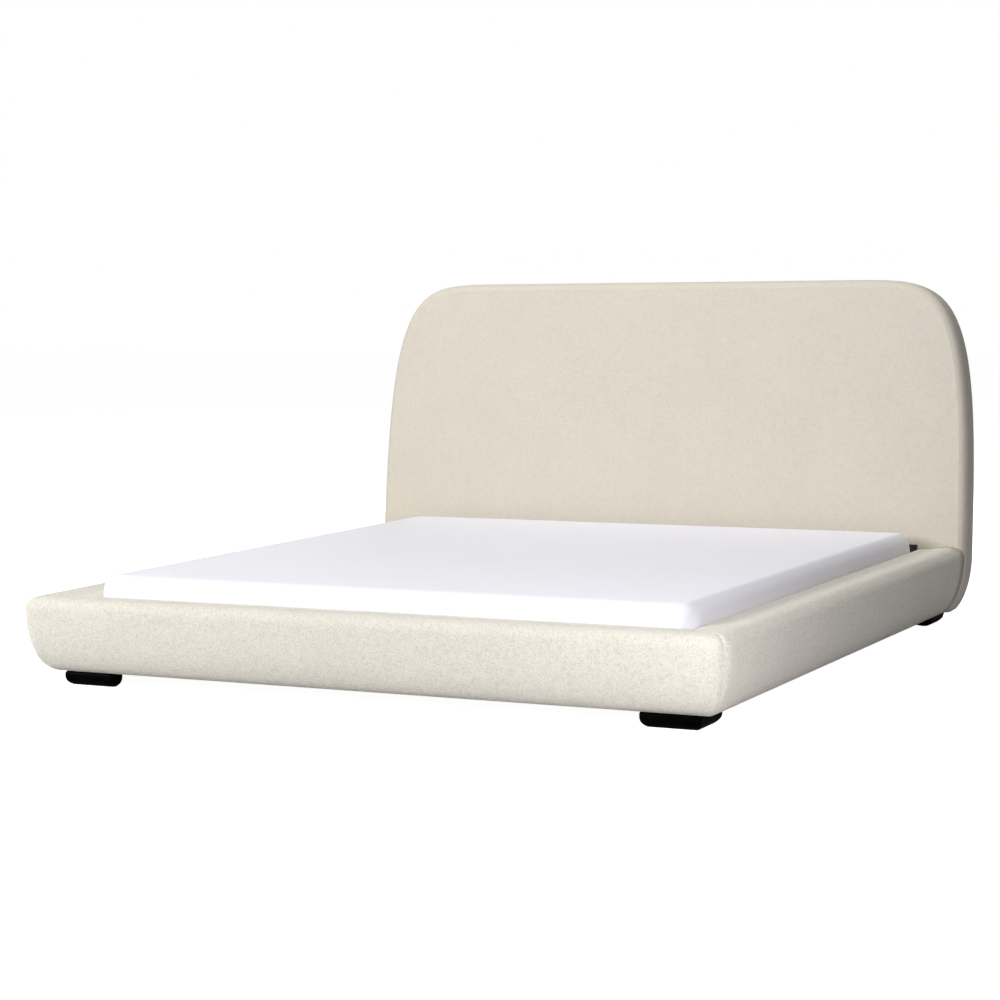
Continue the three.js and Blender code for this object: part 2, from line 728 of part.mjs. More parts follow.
// The point a distance from one corner towards the next, kept short of the edge's middle.
function pointTowards(from, to, distance) {
  const length = Math.hypot(to[0] - from[0], to[1] - from[1]);
  const along = Math.min(distance / length, 0.45);
  return [from[0] + (to[0] - from[0]) * along, from[1] + (to[1] - from[1]) * along];
}

// Plan of the front right foot at an inset from its widest outline, its square corner at
// the origin and the block lying towards -x and +y. The corners are rounded by curves.
function footPlan(inset) {
  const corners = shifted([
    [0, 0],
    [0, FOOT_DEPTH],
    [-FOOT_END, FOOT_DEPTH],
    [-FOOT_WIDTH, FOOT_END],
    [-FOOT_WIDTH, 0],
  ], inset, true);
  const plan = [];
  const sides = corners.length;
  corners.forEach((corner, index) => {
    const round = index === 0 ? FOOT_CORNER_ROUND : FOOT_END_ROUND;
    const before = pointTowards(corner, corners[(index + sides - 1) % sides], round);
    const after = pointTowards(corner, corners[(index + 1) % sides], round);
    for (let step = 0; step <= FOOT_ROUND_STEPS; step += 1) {
      const t = step / FOOT_ROUND_STEPS;
      const weights = [(1 - t) * (1 - t), 2 * t * (1 - t), t * t];
      plan.push([0, 1].map((axis) => (
        weights[0] * before[axis] + weights[1] * corner[axis] + weights[2] * after[axis]
      )));
    }
  });
  return plan;
}

// Level layers of the plan, each taken in by its own amount, stacked at their heights.
function stackedPlan(layers) {
  const outlines = layers.map(([inset]) => footPlan(inset));
  const steps = layers.length - 1;
  const geometry = extrude(outlines[0], steps, steps);
  const position = geometry.attributes.position;
  for (let index = 0; index < position.count; index += 1) {
    const layer = Math.round(position.getZ(index));
    const from = [position.getX(index), position.getY(index)];
    const distances = outlines[0].map((point) => Math.hypot(point[0] - from[0], point[1] - from[1]));
    const nearest = distances.indexOf(Math.min(...distances));
    position.setXYZ(index, ...outlines[layer][nearest], layers[layer][1]);
  }
  geometry.deleteAttribute('normal');
  geometry.deleteAttribute('uv');
  return mergeVertices(geometry, 1e-4);
}

function blockFoot() {
  const base = PAD_THICKNESS + GAP;
  const top = RAIL_BOTTOM - GAP;
  return stackedPlan([
    [FOOT_TAPER + 4, base],
    [FOOT_TAPER, base + 2.5],
    [FOOT_TAPER * 0.5, base + 7.5],
    [FOOT_TAPER * 0.18, base + 14],
    [0, (base + top) / 2 + 4],
    [0, top - 5],
    [0.5, top - 1.5],
    [2, top],
  ]);
}

function footPad() {
  return extrude(footPlan(FOOT_TAPER + PAD_INSET), PAD_THICKNESS);
}

// How far along the bed the square corner of each end's feet stands.
function footPlaces() {
  const footY = -RAIL_WIDTH + RAIL_HULL_DEPTH - FOOT_FRONT_OVERHANG;
  const headY = headFaceY(RAIL_BOTTOM) + HEAD_THICKNESS + FOOT_HEAD_REACH;
  return { foot: footY, head: headY };
}

// A foot or pad for the right side: the head end's is the front one mirrored front to back,
// made by a half turn and a mirror across the centre plane.
function placedAt(end, geometry) {
  const y = footPlaces()[end];
  if (end === 'foot') {
    return geometry.clone().translate(FOOT_OUTER_X, y, 0);
  }
  return mirrored(geometry.clone().rotateZ(Math.PI)).translate(FOOT_OUTER_X, y, 0);
}

// ---------------------------------------------------------------- mattress

function mattressForm(inset, cornerRadius, edgeRadius) {
  const width = MATTRESS_WIDTH - 2 * inset;
  const length = MATTRESS_LENGTH - 2 * inset;
  const height = MATTRESS_THICKNESS - 2 * inset;
  const form = new THREE.ExtrudeGeometry(
    shapeOf(roundedRectangle(width, length, cornerRadius, 6)),
    {
      depth: height - 2 * edgeRadius,
      bevelEnabled: true,
      bevelThickness: edgeRadius,
      bevelSize: edgeRadius,
      bevelOffset: -edgeRadius,
      bevelSegments: 5,
      steps: 1,
    },
  );
  const y = FOOT_CLEARANCE + MATTRESS_LENGTH / 2;
  return form.translate(0, y, MATTRESS_BOTTOM + inset + edgeRadius);
}

function mattressPieces() {
  const skin = MATTRESS_COVER_THICKNESS;
  const inner = skin + GAP;
  const radius = MATTRESS_CORNER_RADIUS;
  const edge = MATTRESS_EDGE_RADIUS;
  const lap = MATTRESS_COVER_LAP;
  const middle = FOOT_CLEARANCE + MATTRESS_LENGTH / 2;
  const halfX = MATTRESS_WIDTH / 2 - lap;
  const halfY = MATTRESS_LENGTH / 2 - lap;
  const opening = boxBetween(
    [-halfX, middle - halfY, MATTRESS_BOTTOM - 10],
    [halfX, middle + halfY, MATTRESS_BOTTOM + skin + 10],
  );
  const hollow = mattressForm(skin, radius - skin, edge - skin);
  return {
    mattress_cover: subtractAll(mattressForm(0, radius, edge), [hollow, opening]),
    mattress_core: mattressForm(inner, radius - inner, edge - inner),
  };
}

// ---------------------------------------------------------------- assembly

const bed = new THREE.Group();
bed.name = 'upholstered_headboard_bed';

function addPiece(name, geometry, look) {
  const mesh = new THREE.Mesh(geometry, new THREE.MeshStandardMaterial(look));
  mesh.name = name;
  bed.add(mesh);
}

function addBothSides(leftName, rightName, geometry, look) {
  addPiece(rightName, geometry, look);
  addPiece(leftName, mirrored(geometry), look);
}

for (const [name, geometry] of Object.entries(headboardPieces())) {
  const looks = {
    headboard_cover: FABRIC,
    headboard_foam: FOAM,
    headboard_board: WOOD,
    headboard_frame: WOOD,
    headboard_back_panel: FELT,
  };
  addPiece(name, geometry, looks[name]);
}

const rails = railPieces();
const footHoles = [-1, 1].map((side) => (
  cylinderAlong('y', BOLT_RADIUS + BOLT_CLEARANCE, [side * BOLT_X, -60, FOOT_BOLT_Z], 80)
));
const sideHoles = [[BOLT_ALONG + GAP, FOOT_BOLT_Z], [SIDE_HEAD_BOLT_Y, HEAD_BOLT_Z]].map(([y, z]) => (
  cylinderAlong('x', BOLT_RADIUS + BOLT_CLEARANCE, [INNER_X - 20, y, z], 80)
));
const railLooks = { cover: FABRIC, foam: FOAM, frame: WOOD };
for (const [name, geometry] of Object.entries(rails.foot)) {
  addPiece(name, subtractAll(geometry, footHoles), railLooks[name.split('_').pop()]);
}
for (const [name, geometry] of Object.entries(rails.right)) {
  const drilled = subtractAll(geometry, sideHoles);
  addBothSides(`left_rail_${name}`, `right_rail_${name}`, drilled, railLooks[name]);
}

addBothSides('left_ledger', 'right_ledger', ledger(), WOOD);
addBothSides('bracket_foot_left', 'bracket_foot_right', footBracket(), BLACK_STEEL);
addBothSides('bracket_head_left', 'bracket_head_right', headBracket(), BLACK_STEEL);
for (const [name, geometry] of Object.entries(boltPieces())) {
  addBothSides(`${name}_left`, `${name}_right`, geometry, ZINC);
}

for (const [name, geometry] of Object.entries(slats())) {
  addPiece(name, geometry, WOOD);
}
addPiece('centre_beam', centreBeam(), WOOD);
addPiece('beam_hanger_foot', beamHanger(() => 0, 1), BLACK_STEEL);
addPiece('beam_hanger_head', beamHanger(headFaceY, -1), BLACK_STEEL);
for (let index = 1; index <= LEG_COUNT; index += 1) {
  const y = OPENING_LENGTH * index / (LEG_COUNT + 1);
  addPiece(`centre_leg_${index}`, centreLeg(y), WOOD);
  addPiece(`centre_glide_${index}`, centreGlide(y), PLASTIC);
}

for (const end of ['foot', 'head']) {
  const foot = placedAt(end, blockFoot());
  addBothSides(`foot_${end}_left`, `foot_${end}_right`, foot, BLACK_WOOD);
  addBothSides(`pad_${end}_left`, `pad_${end}_right`, placedAt(end, footPad()), FELT);
}

const mattress = mattressPieces();
addPiece('mattress_cover', mattress.mattress_cover, WHITE_FABRIC);
addPiece('mattress_core', mattress.mattress_core, FOAM);

// Centre the whole bed on the floor under its bounding box.
const bounds = new THREE.Box3().setFromObject(bed);
const middleY = (bounds.min.y + bounds.max.y) / 2;
for (const mesh of bed.children) {
  mesh.geometry.translate(0, -middleY, 0);
}

export default bed;
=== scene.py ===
"""A king-size platform bed with a tall upholstered headboard: padded rails round a
slatted deck, black block feet and a mattress that lies in the opening."""

import math

import bmesh
import bpy
import numpy as np
from mathutils import Matrix, Vector, noise


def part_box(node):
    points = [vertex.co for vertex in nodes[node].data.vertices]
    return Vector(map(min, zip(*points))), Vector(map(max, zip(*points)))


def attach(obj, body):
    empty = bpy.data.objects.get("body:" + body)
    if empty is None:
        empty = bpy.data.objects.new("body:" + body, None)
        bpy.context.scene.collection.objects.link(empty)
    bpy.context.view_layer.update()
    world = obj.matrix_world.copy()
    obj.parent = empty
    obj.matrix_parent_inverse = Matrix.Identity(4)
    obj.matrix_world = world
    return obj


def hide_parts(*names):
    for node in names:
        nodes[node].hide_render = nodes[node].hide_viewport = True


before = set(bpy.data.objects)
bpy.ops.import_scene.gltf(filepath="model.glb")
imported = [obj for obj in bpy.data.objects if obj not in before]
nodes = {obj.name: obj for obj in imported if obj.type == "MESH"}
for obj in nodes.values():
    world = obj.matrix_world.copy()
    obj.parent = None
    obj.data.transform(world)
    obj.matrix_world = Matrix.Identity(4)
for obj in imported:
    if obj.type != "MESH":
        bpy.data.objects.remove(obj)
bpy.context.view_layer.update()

# ---------------------------------------------------------------------------
# Rail frames and their foam. Each rail is a hollow plywood box with its outer
# face planed to a slope, glued round with cut upholstery foam. Both are hidden
# by the cover, but they carry the bolts and give the rail its soft edge.
# ---------------------------------------------------------------------------

PLYWOOD_LIGHT = (0.60, 0.42, 0.24, 1)
PLYWOOD_DARK = (0.42, 0.26, 0.13, 1)
PLY_THICKNESS = 0.0015
PLY_SHOWS = 0.16
GRAIN_ACROSS, GRAIN_ALONG = 38.0, 2.2
PORES_ACROSS, PORES_ALONG = 420.0, 16.0
FOAM_LIGHT = (0.80, 0.72, 0.42, 1)
FOAM_DARK = (0.62, 0.52, 0.26, 1)


def start_material(name, roughness, metallic=0.0):
    """A material and its shader, with the values that are the same all over."""
    material = bpy.data.materials.new(name)
    material.use_nodes = True
    shader = material.node_tree.nodes["Principled BSDF"]
    shader.inputs["Roughness"].default_value = roughness
    shader.inputs["Metallic"].default_value = metallic
    return material, shader


def add_node(material, kind, inputs=None, **settings):
    """One shader node; an input is a value, or an output of another node to link."""
    made = material.node_tree.nodes.new(kind)
    for name, value in settings.items():
        setattr(made, name, value)
    for name, value in (inputs or {}).items():
        if isinstance(value, bpy.types.NodeSocket):
            material.node_tree.links.new(value, made.inputs[name])
        else:
            made.inputs[name].default_value = value
    return made


def link(material, output, socket):
    material.node_tree.links.new(output, socket)


def place_in_bed(material, stretch=(1, 1, 1)):
    """Coordinates in metres in the bed's frame, scaled per axis."""
    coords = add_node(material, "ShaderNodeTexCoord")
    scaled = add_node(
        material, "ShaderNodeMapping", {"Vector": coords.outputs["Object"], "Scale": stretch}
    )
    return scaled.outputs["Vector"]


def ramp(material, factor, stops):
    """A colour ramp through (position, colour) stops."""
    made = add_node(material, "ShaderNodeValToRGB", {"Fac": factor})
    elements = made.color_ramp.elements
    while len(elements) < len(stops):
        elements.new(0.5)
    for element, (position, colour) in zip(elements, stops):
        element.position = position
        element.color = colour
    return made.outputs["Color"]


def grey(value):
    return (value, value, value, 1)


def bump(material, height, distance, strength=1.0, below=None):
    inputs = {"Height": height, "Distance": distance, "Strength": strength}
    if below is not None:
        inputs["Normal"] = below
    return add_node(material, "ShaderNodeBump", inputs).outputs["Normal"]


def wood_material(name, light, dark, roughness, grain_along, ply=None):
    """Sawn timber or plywood: grain stretched along one axis, pores, and glued plies."""
    material, shader = start_material(name, roughness)
    stretch = [GRAIN_ACROSS] * 3
    stretch[grain_along] = GRAIN_ALONG
    grain = add_node(
        material,
        "ShaderNodeTexNoise",
        {"Vector": place_in_bed(material, stretch), "Scale": 1.0, "Detail": 7.0, "Distortion": 0.9},
    )
    stretch = [PORES_ACROSS] * 3
    stretch[grain_along] = PORES_ALONG
    pores = add_node(
        material,
        "ShaderNodeTexNoise",
        {"Vector": place_in_bed(material, stretch), "Scale": 1.0, "Detail": 3.0},
    )
    colour = ramp(material, grain.outputs["Fac"], [(0.32, dark), (0.62, light)])
    if ply:
        plies = add_node(
            material,
            "ShaderNodeTexWave",
            {"Vector": place_in_bed(material), "Scale": 1 / (20 * ply), "Distortion": 0.4},
            bands_direction="Z",
        )
        layers = ramp(material, plies.outputs["Fac"], [(0.4, dark), (0.6, light)])
        mix = add_node(
            material,
            "ShaderNodeMix",
            {"Factor": PLY_SHOWS, "A": colour, "B": layers},
            data_type="RGBA",
        )
        colour = mix.outputs["Result"]
    link(material, colour, shader.inputs["Base Color"])
    relief = bump(material, pores.outputs["Fac"], 0.0004, 0.5)
    relief = bump(material, grain.outputs["Fac"], 0.0006, 0.4, relief)
    link(material, relief, shader.inputs["Normal"])
    return material


def foam_material():
    """Open-cell upholstery foam, yellowed a little where the light reached it."""
    material, shader = start_material("cut_foam", 0.95)
    cells = add_node(
        material,
        "ShaderNodeTexVoronoi",
        {"Vector": place_in_bed(material), "Scale": 700.0, "Randomness": 1.0},
    )
    stain = add_node(
        material,
        "ShaderNodeTexNoise",
        {"Vector": place_in_bed(material), "Scale": 9.0, "Detail": 3.0},
    )
    colour = ramp(material, stain.outputs["Fac"], [(0.35, FOAM_DARK), (0.6, FOAM_LIGHT)])
    link(material, colour, shader.inputs["Base Color"])
    link(material, bump(material, cells.outputs["Distance"], 0.0008), shader.inputs["Normal"])
    return material


def finish_node(node, material):
    """A carried-over piece keeps its shape and gets this material."""
    mesh = nodes[node].data
    mesh.materials.clear()
    mesh.materials.append(material)


plywood = wood_material("birch_plywood", PLYWOOD_LIGHT, PLYWOOD_DARK, 0.62, 0, PLY_THICKNESS)
plywood_long = wood_material(
    "birch_plywood_long", PLYWOOD_LIGHT, PLYWOOD_DARK, 0.62, 1, PLY_THICKNESS
)
foam = foam_material()
finish_node("foot_rail_frame", plywood)
finish_node("left_rail_frame", plywood_long)
finish_node("right_rail_frame", plywood_long)
for rail in ("foot_rail", "left_rail", "right_rail"):
    finish_node(f"{rail}_foam", foam)

# ---------------------------------------------------------------------------
# Rail covers. Looped cream boucle, pulled tight over the foam, stapled under the
# rail and sewn to the next rail's cover in a mitred seam at each foot corner.
# The outer face curves in underneath like a hull, and the top is a soft flat.
# ---------------------------------------------------------------------------

RAIL_LOOP = (0.880, 0.858, 0.768, 1)
RAIL_LOOP_COOL = (0.852, 0.834, 0.750, 1)
# Colour painted between the rails' loops as their shade.
RAIL_CREVICE_PAINTED_SHADE = (0.52, 0.46, 0.35, 1)
LOOP_SIZE = 0.0034
WEAVE_ROWS = 62.0
OPENING_FOOT_Y = -1.05616
OPENING_HALF = 0.968
OPENING_LENGTH = 2.05
HEAD_LEAN = math.radians(6.25)
RAIL_WIDTH = 0.163
RAIL_BOTTOM = 0.041
RAIL_WIDEST = 0.233
RAIL_TOP = 0.269
RAIL_CROWN_DROP = 0.009
RAIL_TOP_ROUND = 0.044
RAIL_INNER_ROUND = 0.015
RAIL_HULL_DEPTH = 0.090
RAIL_CORNER_RADIUS = 0.045
RAIL_BASE_ROUND = 0.004
COVER_THICKNESS = 0.002
COVER_TURN_UNDER = 0.022
MITRE_GAP = 0.00015
HEADBOARD_GAP = 0.0003
RAIL_PUFF = 0.0016
PUFF_REACH = 0.03
SEAM_DEPTH = 0.0030
SEAM_HALF_WIDTH = 0.0045
SLACK_SIZE, SLACK_DEPTH = 0.23, 0.0011
PANEL_START = 0.03


def boucle_material(name, loop, loop_cool, crevice_painted_shade, depth):
    """Boucle: curled loops with painted tan shade between them, in faint rows of weave.

    depth is how open the loops are, from 0 for a tight flat cloth to 1; it also sets how dark the
    painted shade between the loops is.
    """
    material, shader = start_material(name, 0.93)
    shader.inputs["Specular IOR Level"].default_value = 0.25
    shader.inputs["Sheen Weight"].default_value = 0.22
    shader.inputs["Sheen Roughness"].default_value = 0.45
    shader.inputs["Sheen Tint"].default_value = (1.0, 0.97, 0.90, 1)
    coords = place_in_bed(material)
    curl = add_node(
        material, "ShaderNodeTexNoise", {"Vector": coords, "Scale": 150.0, "Detail": 2.0}
    )
    wander = add_node(
        material,
        "ShaderNodeMix",
        {"Factor": 0.004, "A": coords, "B": curl.outputs["Color"]},
        data_type="VECTOR",
    )
    loops = add_node(
        material,
        "ShaderNodeTexVoronoi",
        {"Vector": wander.outputs["Result"], "Scale": 1 / LOOP_SIZE, "Smoothness": 0.35},
        feature="SMOOTH_F1",
    )
    clusters = add_node(
        material,
        "ShaderNodeTexNoise",
        {"Vector": coords, "Scale": 75.0, "Detail": 3.0, "Roughness": 0.6},
    )
    fuzz = add_node(
        material, "ShaderNodeTexNoise", {"Vector": coords, "Scale": 1400.0, "Detail": 2.0}
    )
    rows = [
        add_node(
            material,
            "ShaderNodeTexWave",
            {
                "Vector": coords,
                "Scale": WEAVE_ROWS,
                "Distortion": 3.0,
                "Detail": 2.0,
                "Detail Scale": 3.0,
            },
            bands_direction=direction,
        )
        for direction in ("X", "Z")
    ]
    batch = add_node(
        material, "ShaderNodeTexNoise", {"Vector": coords, "Scale": 5.0, "Detail": 2.0}
    )
    tint = ramp(material, batch.outputs["Fac"], [(0.35, loop_cool), (0.65, loop)])
    # Painted shade: the cloth is darkened towards the crevice colour between the loops.
    shade = ramp(
        material, loops.outputs["Distance"], [(0.30, grey(0)), (0.78, grey(0.50 * depth))]
    )
    colour = add_node(
        material,
        "ShaderNodeMix",
        {"Factor": shade, "A": tint, "B": crevice_painted_shade},
        data_type="RGBA",
    )
    thin = ramp(
        material, clusters.outputs["Fac"], [(0.34, grey(1 - 0.08 * depth)), (0.56, grey(1.0))]
    )
    mottled = add_node(
        material,
        "ShaderNodeMix",
        {"Factor": 1.0, "A": colour.outputs["Result"], "B": thin},
        data_type="RGBA",
        blend_type="MULTIPLY",
    )
    link(material, mottled.outputs["Result"], shader.inputs["Base Color"])
    domes = add_node(
        material, "ShaderNodeMath", {0: 1.0, 1: loops.outputs["Distance"]}, operation="SUBTRACT"
    )
    relief = bump(material, domes.outputs["Value"], 0.0022, 0.70 * depth)
    relief = bump(material, clusters.outputs["Fac"], 0.0040, 0.22 * depth, relief)
    for row in rows:
        relief = bump(material, row.outputs["Fac"], 0.0008, 0.30, relief)
    relief = bump(material, fuzz.outputs["Fac"], 0.0003, 0.5 * depth, relief)
    link(material, relief, shader.inputs["Normal"])
    rough = ramp(material, loops.outputs["Distance"], [(0.1, grey(0.86)), (0.8, grey(1.0))])
    link(material, rough, shader.inputs["Roughness"])
    return material


def mesh_piece(name, vertices, faces, material):
    """A smooth-shaded object from points in the bed's frame."""
    mesh = bpy.data.meshes.new(name)
    mesh.from_pydata([tuple(v) for v in vertices], [], faces)
    mesh.update()
    mesh.polygons.foreach_set("use_smooth", [True] * len(mesh.polygons))
    mesh.materials.append(material)
    piece = bpy.data.objects.new(name, mesh)
    bpy.context.scene.collection.objects.link(piece)
    return piece


def face_outward(piece):
    work = bmesh.new()
    work.from_mesh(piece.data)
    bmesh.ops.recalc_face_normals(work, faces=work.faces)
    work.to_mesh(piece.data)
    work.free()


def quarter(start, end, steps, first="x"):
    """Quarter of an ellipse from start to end, leaving along x or y, without its start."""
    points = []
    for step in range(1, steps + 1):
        angle = step / steps * math.pi / 2
        run, rise = math.sin(angle), 1 - math.cos(angle)
        if first == "y":
            run, rise = rise, run
        points.append(
            (start[0] + (end[0] - start[0]) * run, start[1] + (end[1] - start[1]) * rise)
        )
    return points


def rail_skin():
    """The rail's skin as (in from the outer face, height), from under the outer edge
    over the top and down to under the inner edge."""
    crown_end = RAIL_WIDTH - RAIL_INNER_ROUND
    crown_low = RAIL_TOP - RAIL_CROWN_DROP
    inner_low = RAIL_BOTTOM + RAIL_BASE_ROUND
    line = [(RAIL_HULL_DEPTH + COVER_TURN_UNDER * (1 - s / 3), RAIL_BOTTOM) for s in range(3)]
    line += [(RAIL_HULL_DEPTH, RAIL_BOTTOM)]
    line += quarter(line[-1], (0, RAIL_WIDEST), 26)
    line += quarter(line[-1], (RAIL_TOP_ROUND, RAIL_TOP), 14, "y")
    start = line[-1]
    for step in range(1, 13):
        along = step / 12
        drop = RAIL_CROWN_DROP * (1 - math.cos(math.pi * along)) / 2
        line.append((start[0] + (crown_end - start[0]) * along, RAIL_TOP - drop))
    line += quarter(line[-1], (RAIL_WIDTH, crown_low - RAIL_INNER_ROUND), 8)
    start = line[-1]
    line += [(RAIL_WIDTH, start[1] + (inner_low - start[1]) * s / 9) for s in range(1, 10)]
    line += quarter(line[-1], (RAIL_WIDTH - RAIL_BASE_ROUND, RAIL_BOTTOM), 3, "y")
    start = line[-1]
    line += [(start[0] - COVER_TURN_UNDER * s / 3, RAIL_BOTTOM) for s in range(1, 4)]
    return np.array(line)


def line_normals(line, closed=False):
    """Unit normals to the left of a path of 2-D points."""
    if closed:
        ahead, behind = np.roll(line, -1, axis=0), np.roll(line, 1, axis=0)
    else:
        ahead = np.vstack([line[1:], line[-1:]])
        behind = np.vstack([line[:1], line[:-1]])
    along = ahead - behind
    along = along / np.maximum(np.linalg.norm(along, axis=1), 1e-9)[:, None]
    return np.stack([-along[:, 1], along[:, 0]], axis=1)


def corner_place(inset, before):
    """Plan position past the inner corner and outward, for a point at an inset from the
    outer face and a distance before the mitre: straight, then round to 45 degrees."""
    centre = RAIL_WIDTH - RAIL_CORNER_RADIUS
    radius = max(RAIL_CORNER_RADIUS - inset, 0.0)
    arc = radius * math.pi / 4
    if before < arc:
        angle = math.pi / 4 - before / radius
        return centre + radius * math.sin(angle), centre + radius * math.cos(angle)
    turn = centre if radius > 0 else RAIL_WIDTH - inset
    return turn - (before - arc), RAIL_WIDTH - inset


def seam_dip(distance):
    """How far the cover sinks at a seam: a narrow pinch in a wide soft valley."""
    narrow = SEAM_DEPTH * math.exp(-((distance / SEAM_HALF_WIDTH) ** 2))
    return narrow - RAIL_PUFF * (1 - math.exp(-((distance / PUFF_REACH) ** 2)))


def ripple(point, size, amount):
    """Soft unevenness of hand-pulled upholstery."""
    return amount * noise.noise(Vector(point) / size)


SEAM_STATIONS = [
    0, 0.0012, 0.0024, 0.0038, 0.0055, 0.0075, 0.010, 0.013, 0.017, 0.022, 0.028, 0.036,
    0.046, 0.058, 0.074, 0.094, 0.120, 0.150, 0.185,
]


def shell_from_rows(name, outer_rows, inner_rows, material):
    """A closed thin cover from matching rows of outer and inner points."""
    rows, columns = len(outer_rows), len(outer_rows[0])
    vertices = [p for row in outer_rows for p in row] + [p for row in inner_rows for p in row]
    inner = rows * columns
    faces = []
    for r in range(rows - 1):
        for c in range(columns - 1):
            a, b = r * columns + c, r * columns + c + 1
            d, e = a + columns, b + columns
            faces.append((a, b, e, d))
            faces.append((inner + a, inner + d, inner + e, inner + b))
    for r in range(rows - 1):
        for c in (0, columns - 1):
            a, b = r * columns + c, (r + 1) * columns + c
            faces.append((a, b, inner + b, inner + a))
    for c in range(columns - 1):
        for r in (0, rows - 1):
            a, b = r * columns + c, r * columns + c + 1
            faces.append((a, b, inner + b, inner + a))
    piece = mesh_piece(name, vertices, faces, material)
    face_outward(piece)
    return piece


def rail_rows(stations, place):
    """Outer and inner rows of a rail cover; place maps (inset, height, station). A station
    is a place along the rail and its distance from the seam."""
    skin = rail_skin()
    normals = line_normals(skin)
    turned_under = np.minimum((skin[:, 1] - RAIL_BOTTOM) / 0.02, 1)
    outer_rows, inner_rows = [], []
    for station in stations:
        outer, inner = [], []
        for (inset, height), normal, free in zip(skin, normals, turned_under):
            dip = seam_dip(station[1]) * free
            spot = place(inset, height, station)
            wave = ripple(spot, SLACK_SIZE, SLACK_DEPTH) * free
            backing = -COVER_THICKNESS - max(dip, 0) * 0.2
            for line, offset in ((outer, wave - dip), (inner, backing)):
                across, up = normal * offset
                line.append(place(inset + across, height + up, station))
        outer_rows.append(outer)
        inner_rows.append(inner)
    return outer_rows, inner_rows


def foot_rail_cover():
    span = OPENING_HALF - SEAM_STATIONS[-1] - PANEL_START
    middle = np.linspace(-span, span, 31)
    stations = [("left", s) for s in SEAM_STATIONS]
    stations += [(x, 1.0) for x in middle]
    stations += [("right", s) for s in reversed(SEAM_STATIONS)]

    def place(inset, height, station):
        where, before = station
        if where in ("left", "right"):
            past, outward = corner_place(inset, before)
            x = OPENING_HALF + past - MITRE_GAP
            return (-x if where == "left" else x, OPENING_FOOT_Y - outward, height)
        return (where, OPENING_FOOT_Y - RAIL_WIDTH + inset, height)

    return rail_rows(stations, place)


def side_rail_cover(side):
    """Cover of one side rail, from its mitre to the leaning headboard."""
    stations = [("corner", s) for s in SEAM_STATIONS]
    stations += [(share, 1.0) for share in np.linspace(0, 1, 34)]

    def place(inset, height, station):
        where, before = station
        if where == "corner":
            past, outward = corner_place(inset, before)
            return (side * (OPENING_HALF + outward), OPENING_FOOT_Y - past + MITRE_GAP, height)
        first = OPENING_FOOT_Y + SEAM_STATIONS[-1] + PANEL_START
        last = OPENING_FOOT_Y + OPENING_LENGTH + height * math.tan(HEAD_LEAN) - HEADBOARD_GAP
        return (side * (OPENING_HALF + RAIL_WIDTH - inset), first + (last - first) * where, height)

    return rail_rows(stations, place)


rail_boucle = boucle_material("rail_boucle", RAIL_LOOP, RAIL_LOOP_COOL, RAIL_CREVICE_PAINTED_SHADE, 0.95)
for name, rows in (
    ("foot_rail", foot_rail_cover()),
    ("left_rail", side_rail_cover(-1)),
    ("right_rail", side_rail_cover(1)),
):
    cover = shell_from_rows(f"{name}_upholstery", *rows, rail_boucle)
    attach(cover, "bed")
    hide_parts(f"{name}_cover")

# ---------------------------------------------------------------------------
# Headboard core. A plywood face board on a framed back with three bays, softened
# by thick foam in front and thin foam round the edge. A black dust cover is
# stapled over the back.
# ---------------------------------------------------------------------------

DUST_COVER_LIGHT = (0.075, 0.075, 0.080, 1)
DUST_COVER_DARK = (0.035, 0.035, 0.038, 1)
FRAME_PINE_LIGHT = (0.66, 0.47, 0.26, 1)
FRAME_PINE_DARK = (0.50, 0.32, 0.16, 1)


def dust_cover_material():
    """Black non-woven cloth, pressed in a pattern of small dots."""
    material, shader = start_material("dust_cover_cloth", 0.9)
    coords = place_in_bed(material)
    dots = add_node(
        material, "ShaderNodeTexVoronoi", {"Vector": coords, "Scale": 420.0, "Randomness": 0.0}
    )
    fibres = add_node(
        material, "ShaderNodeTexNoise", {"Vector": coords, "Scale": 900.0, "Detail": 4.0}
    )
    colour = ramp(
        material, fibres.outputs["Fac"], [(0.35, DUST_COVER_DARK), (0.65, DUST_COVER_LIGHT)]
    )
    link(material, colour, shader.inputs["Base Color"])
    relief = bump(material, dots.outputs["Distance"], 0.0004, 0.6)
    relief = bump(material, fibres.outputs["Fac"], 0.0002, 0.6, relief)
    link(material, relief, shader.inputs["Normal"])
    return material


frame_pine = wood_material("frame_pine", FRAME_PINE_LIGHT, FRAME_PINE_DARK, 0.6, 2)
finish_node("headboard_board", plywood)
finish_node("headboard_frame", frame_pine)
finish_node("headboard_foam", foam)
finish_node("headboard_back_panel", dust_cover_material())

# ---------------------------------------------------------------------------
# Headboard cover. A front panel of the same boucle, sewn to a side band in a seam
# just inside the front edge; the band turns round the top corners and is stapled
# at the back. The panel swells a little over its foam.
# ---------------------------------------------------------------------------

HEAD_THICKNESS = 0.097
HEAD_TOP = 1.192
HEAD_HALF = OPENING_HALF + RAIL_WIDTH + 0.003
HEAD_CORNER_X = 0.594
HEAD_CORNER_DROP = 1.533
HEAD_CORNER_EXPONENT = 5.6
HEAD_HULL_TOP = RAIL_WIDEST + 0.010
HEAD_SEAM_INSET = 0.0225
HEAD_EDGE_ROUND = 0.032
HEAD_CROWN = 0.0045
HEAD_CROWN_REACH = 0.11
HEAD_SLACK_SIZE, HEAD_SLACK_DEPTH = 0.31, 0.0016
HEAD_SIDE_START = 0.06
BACK_PANEL_INSET = 0.0077
BACK_PANEL_DEPTH = 0.0937
HEAD_ACROSS, HEAD_UP = 132, 86
# The headboard's loop colours are a darker, yellower copy of the rails' boucle: painted shade, so
# the same cloth reads darker on the headboard than on the rails.
HEAD_LOOP_PAINTED_SHADE = (0.690, 0.652, 0.560, 1)
HEAD_LOOP_COOL_PAINTED_SHADE = (0.675, 0.636, 0.549, 1)
# Colour painted between the headboard's loops as their shade.
HEAD_CREVICE_PAINTED_SHADE = (0.52, 0.45, 0.34, 1)


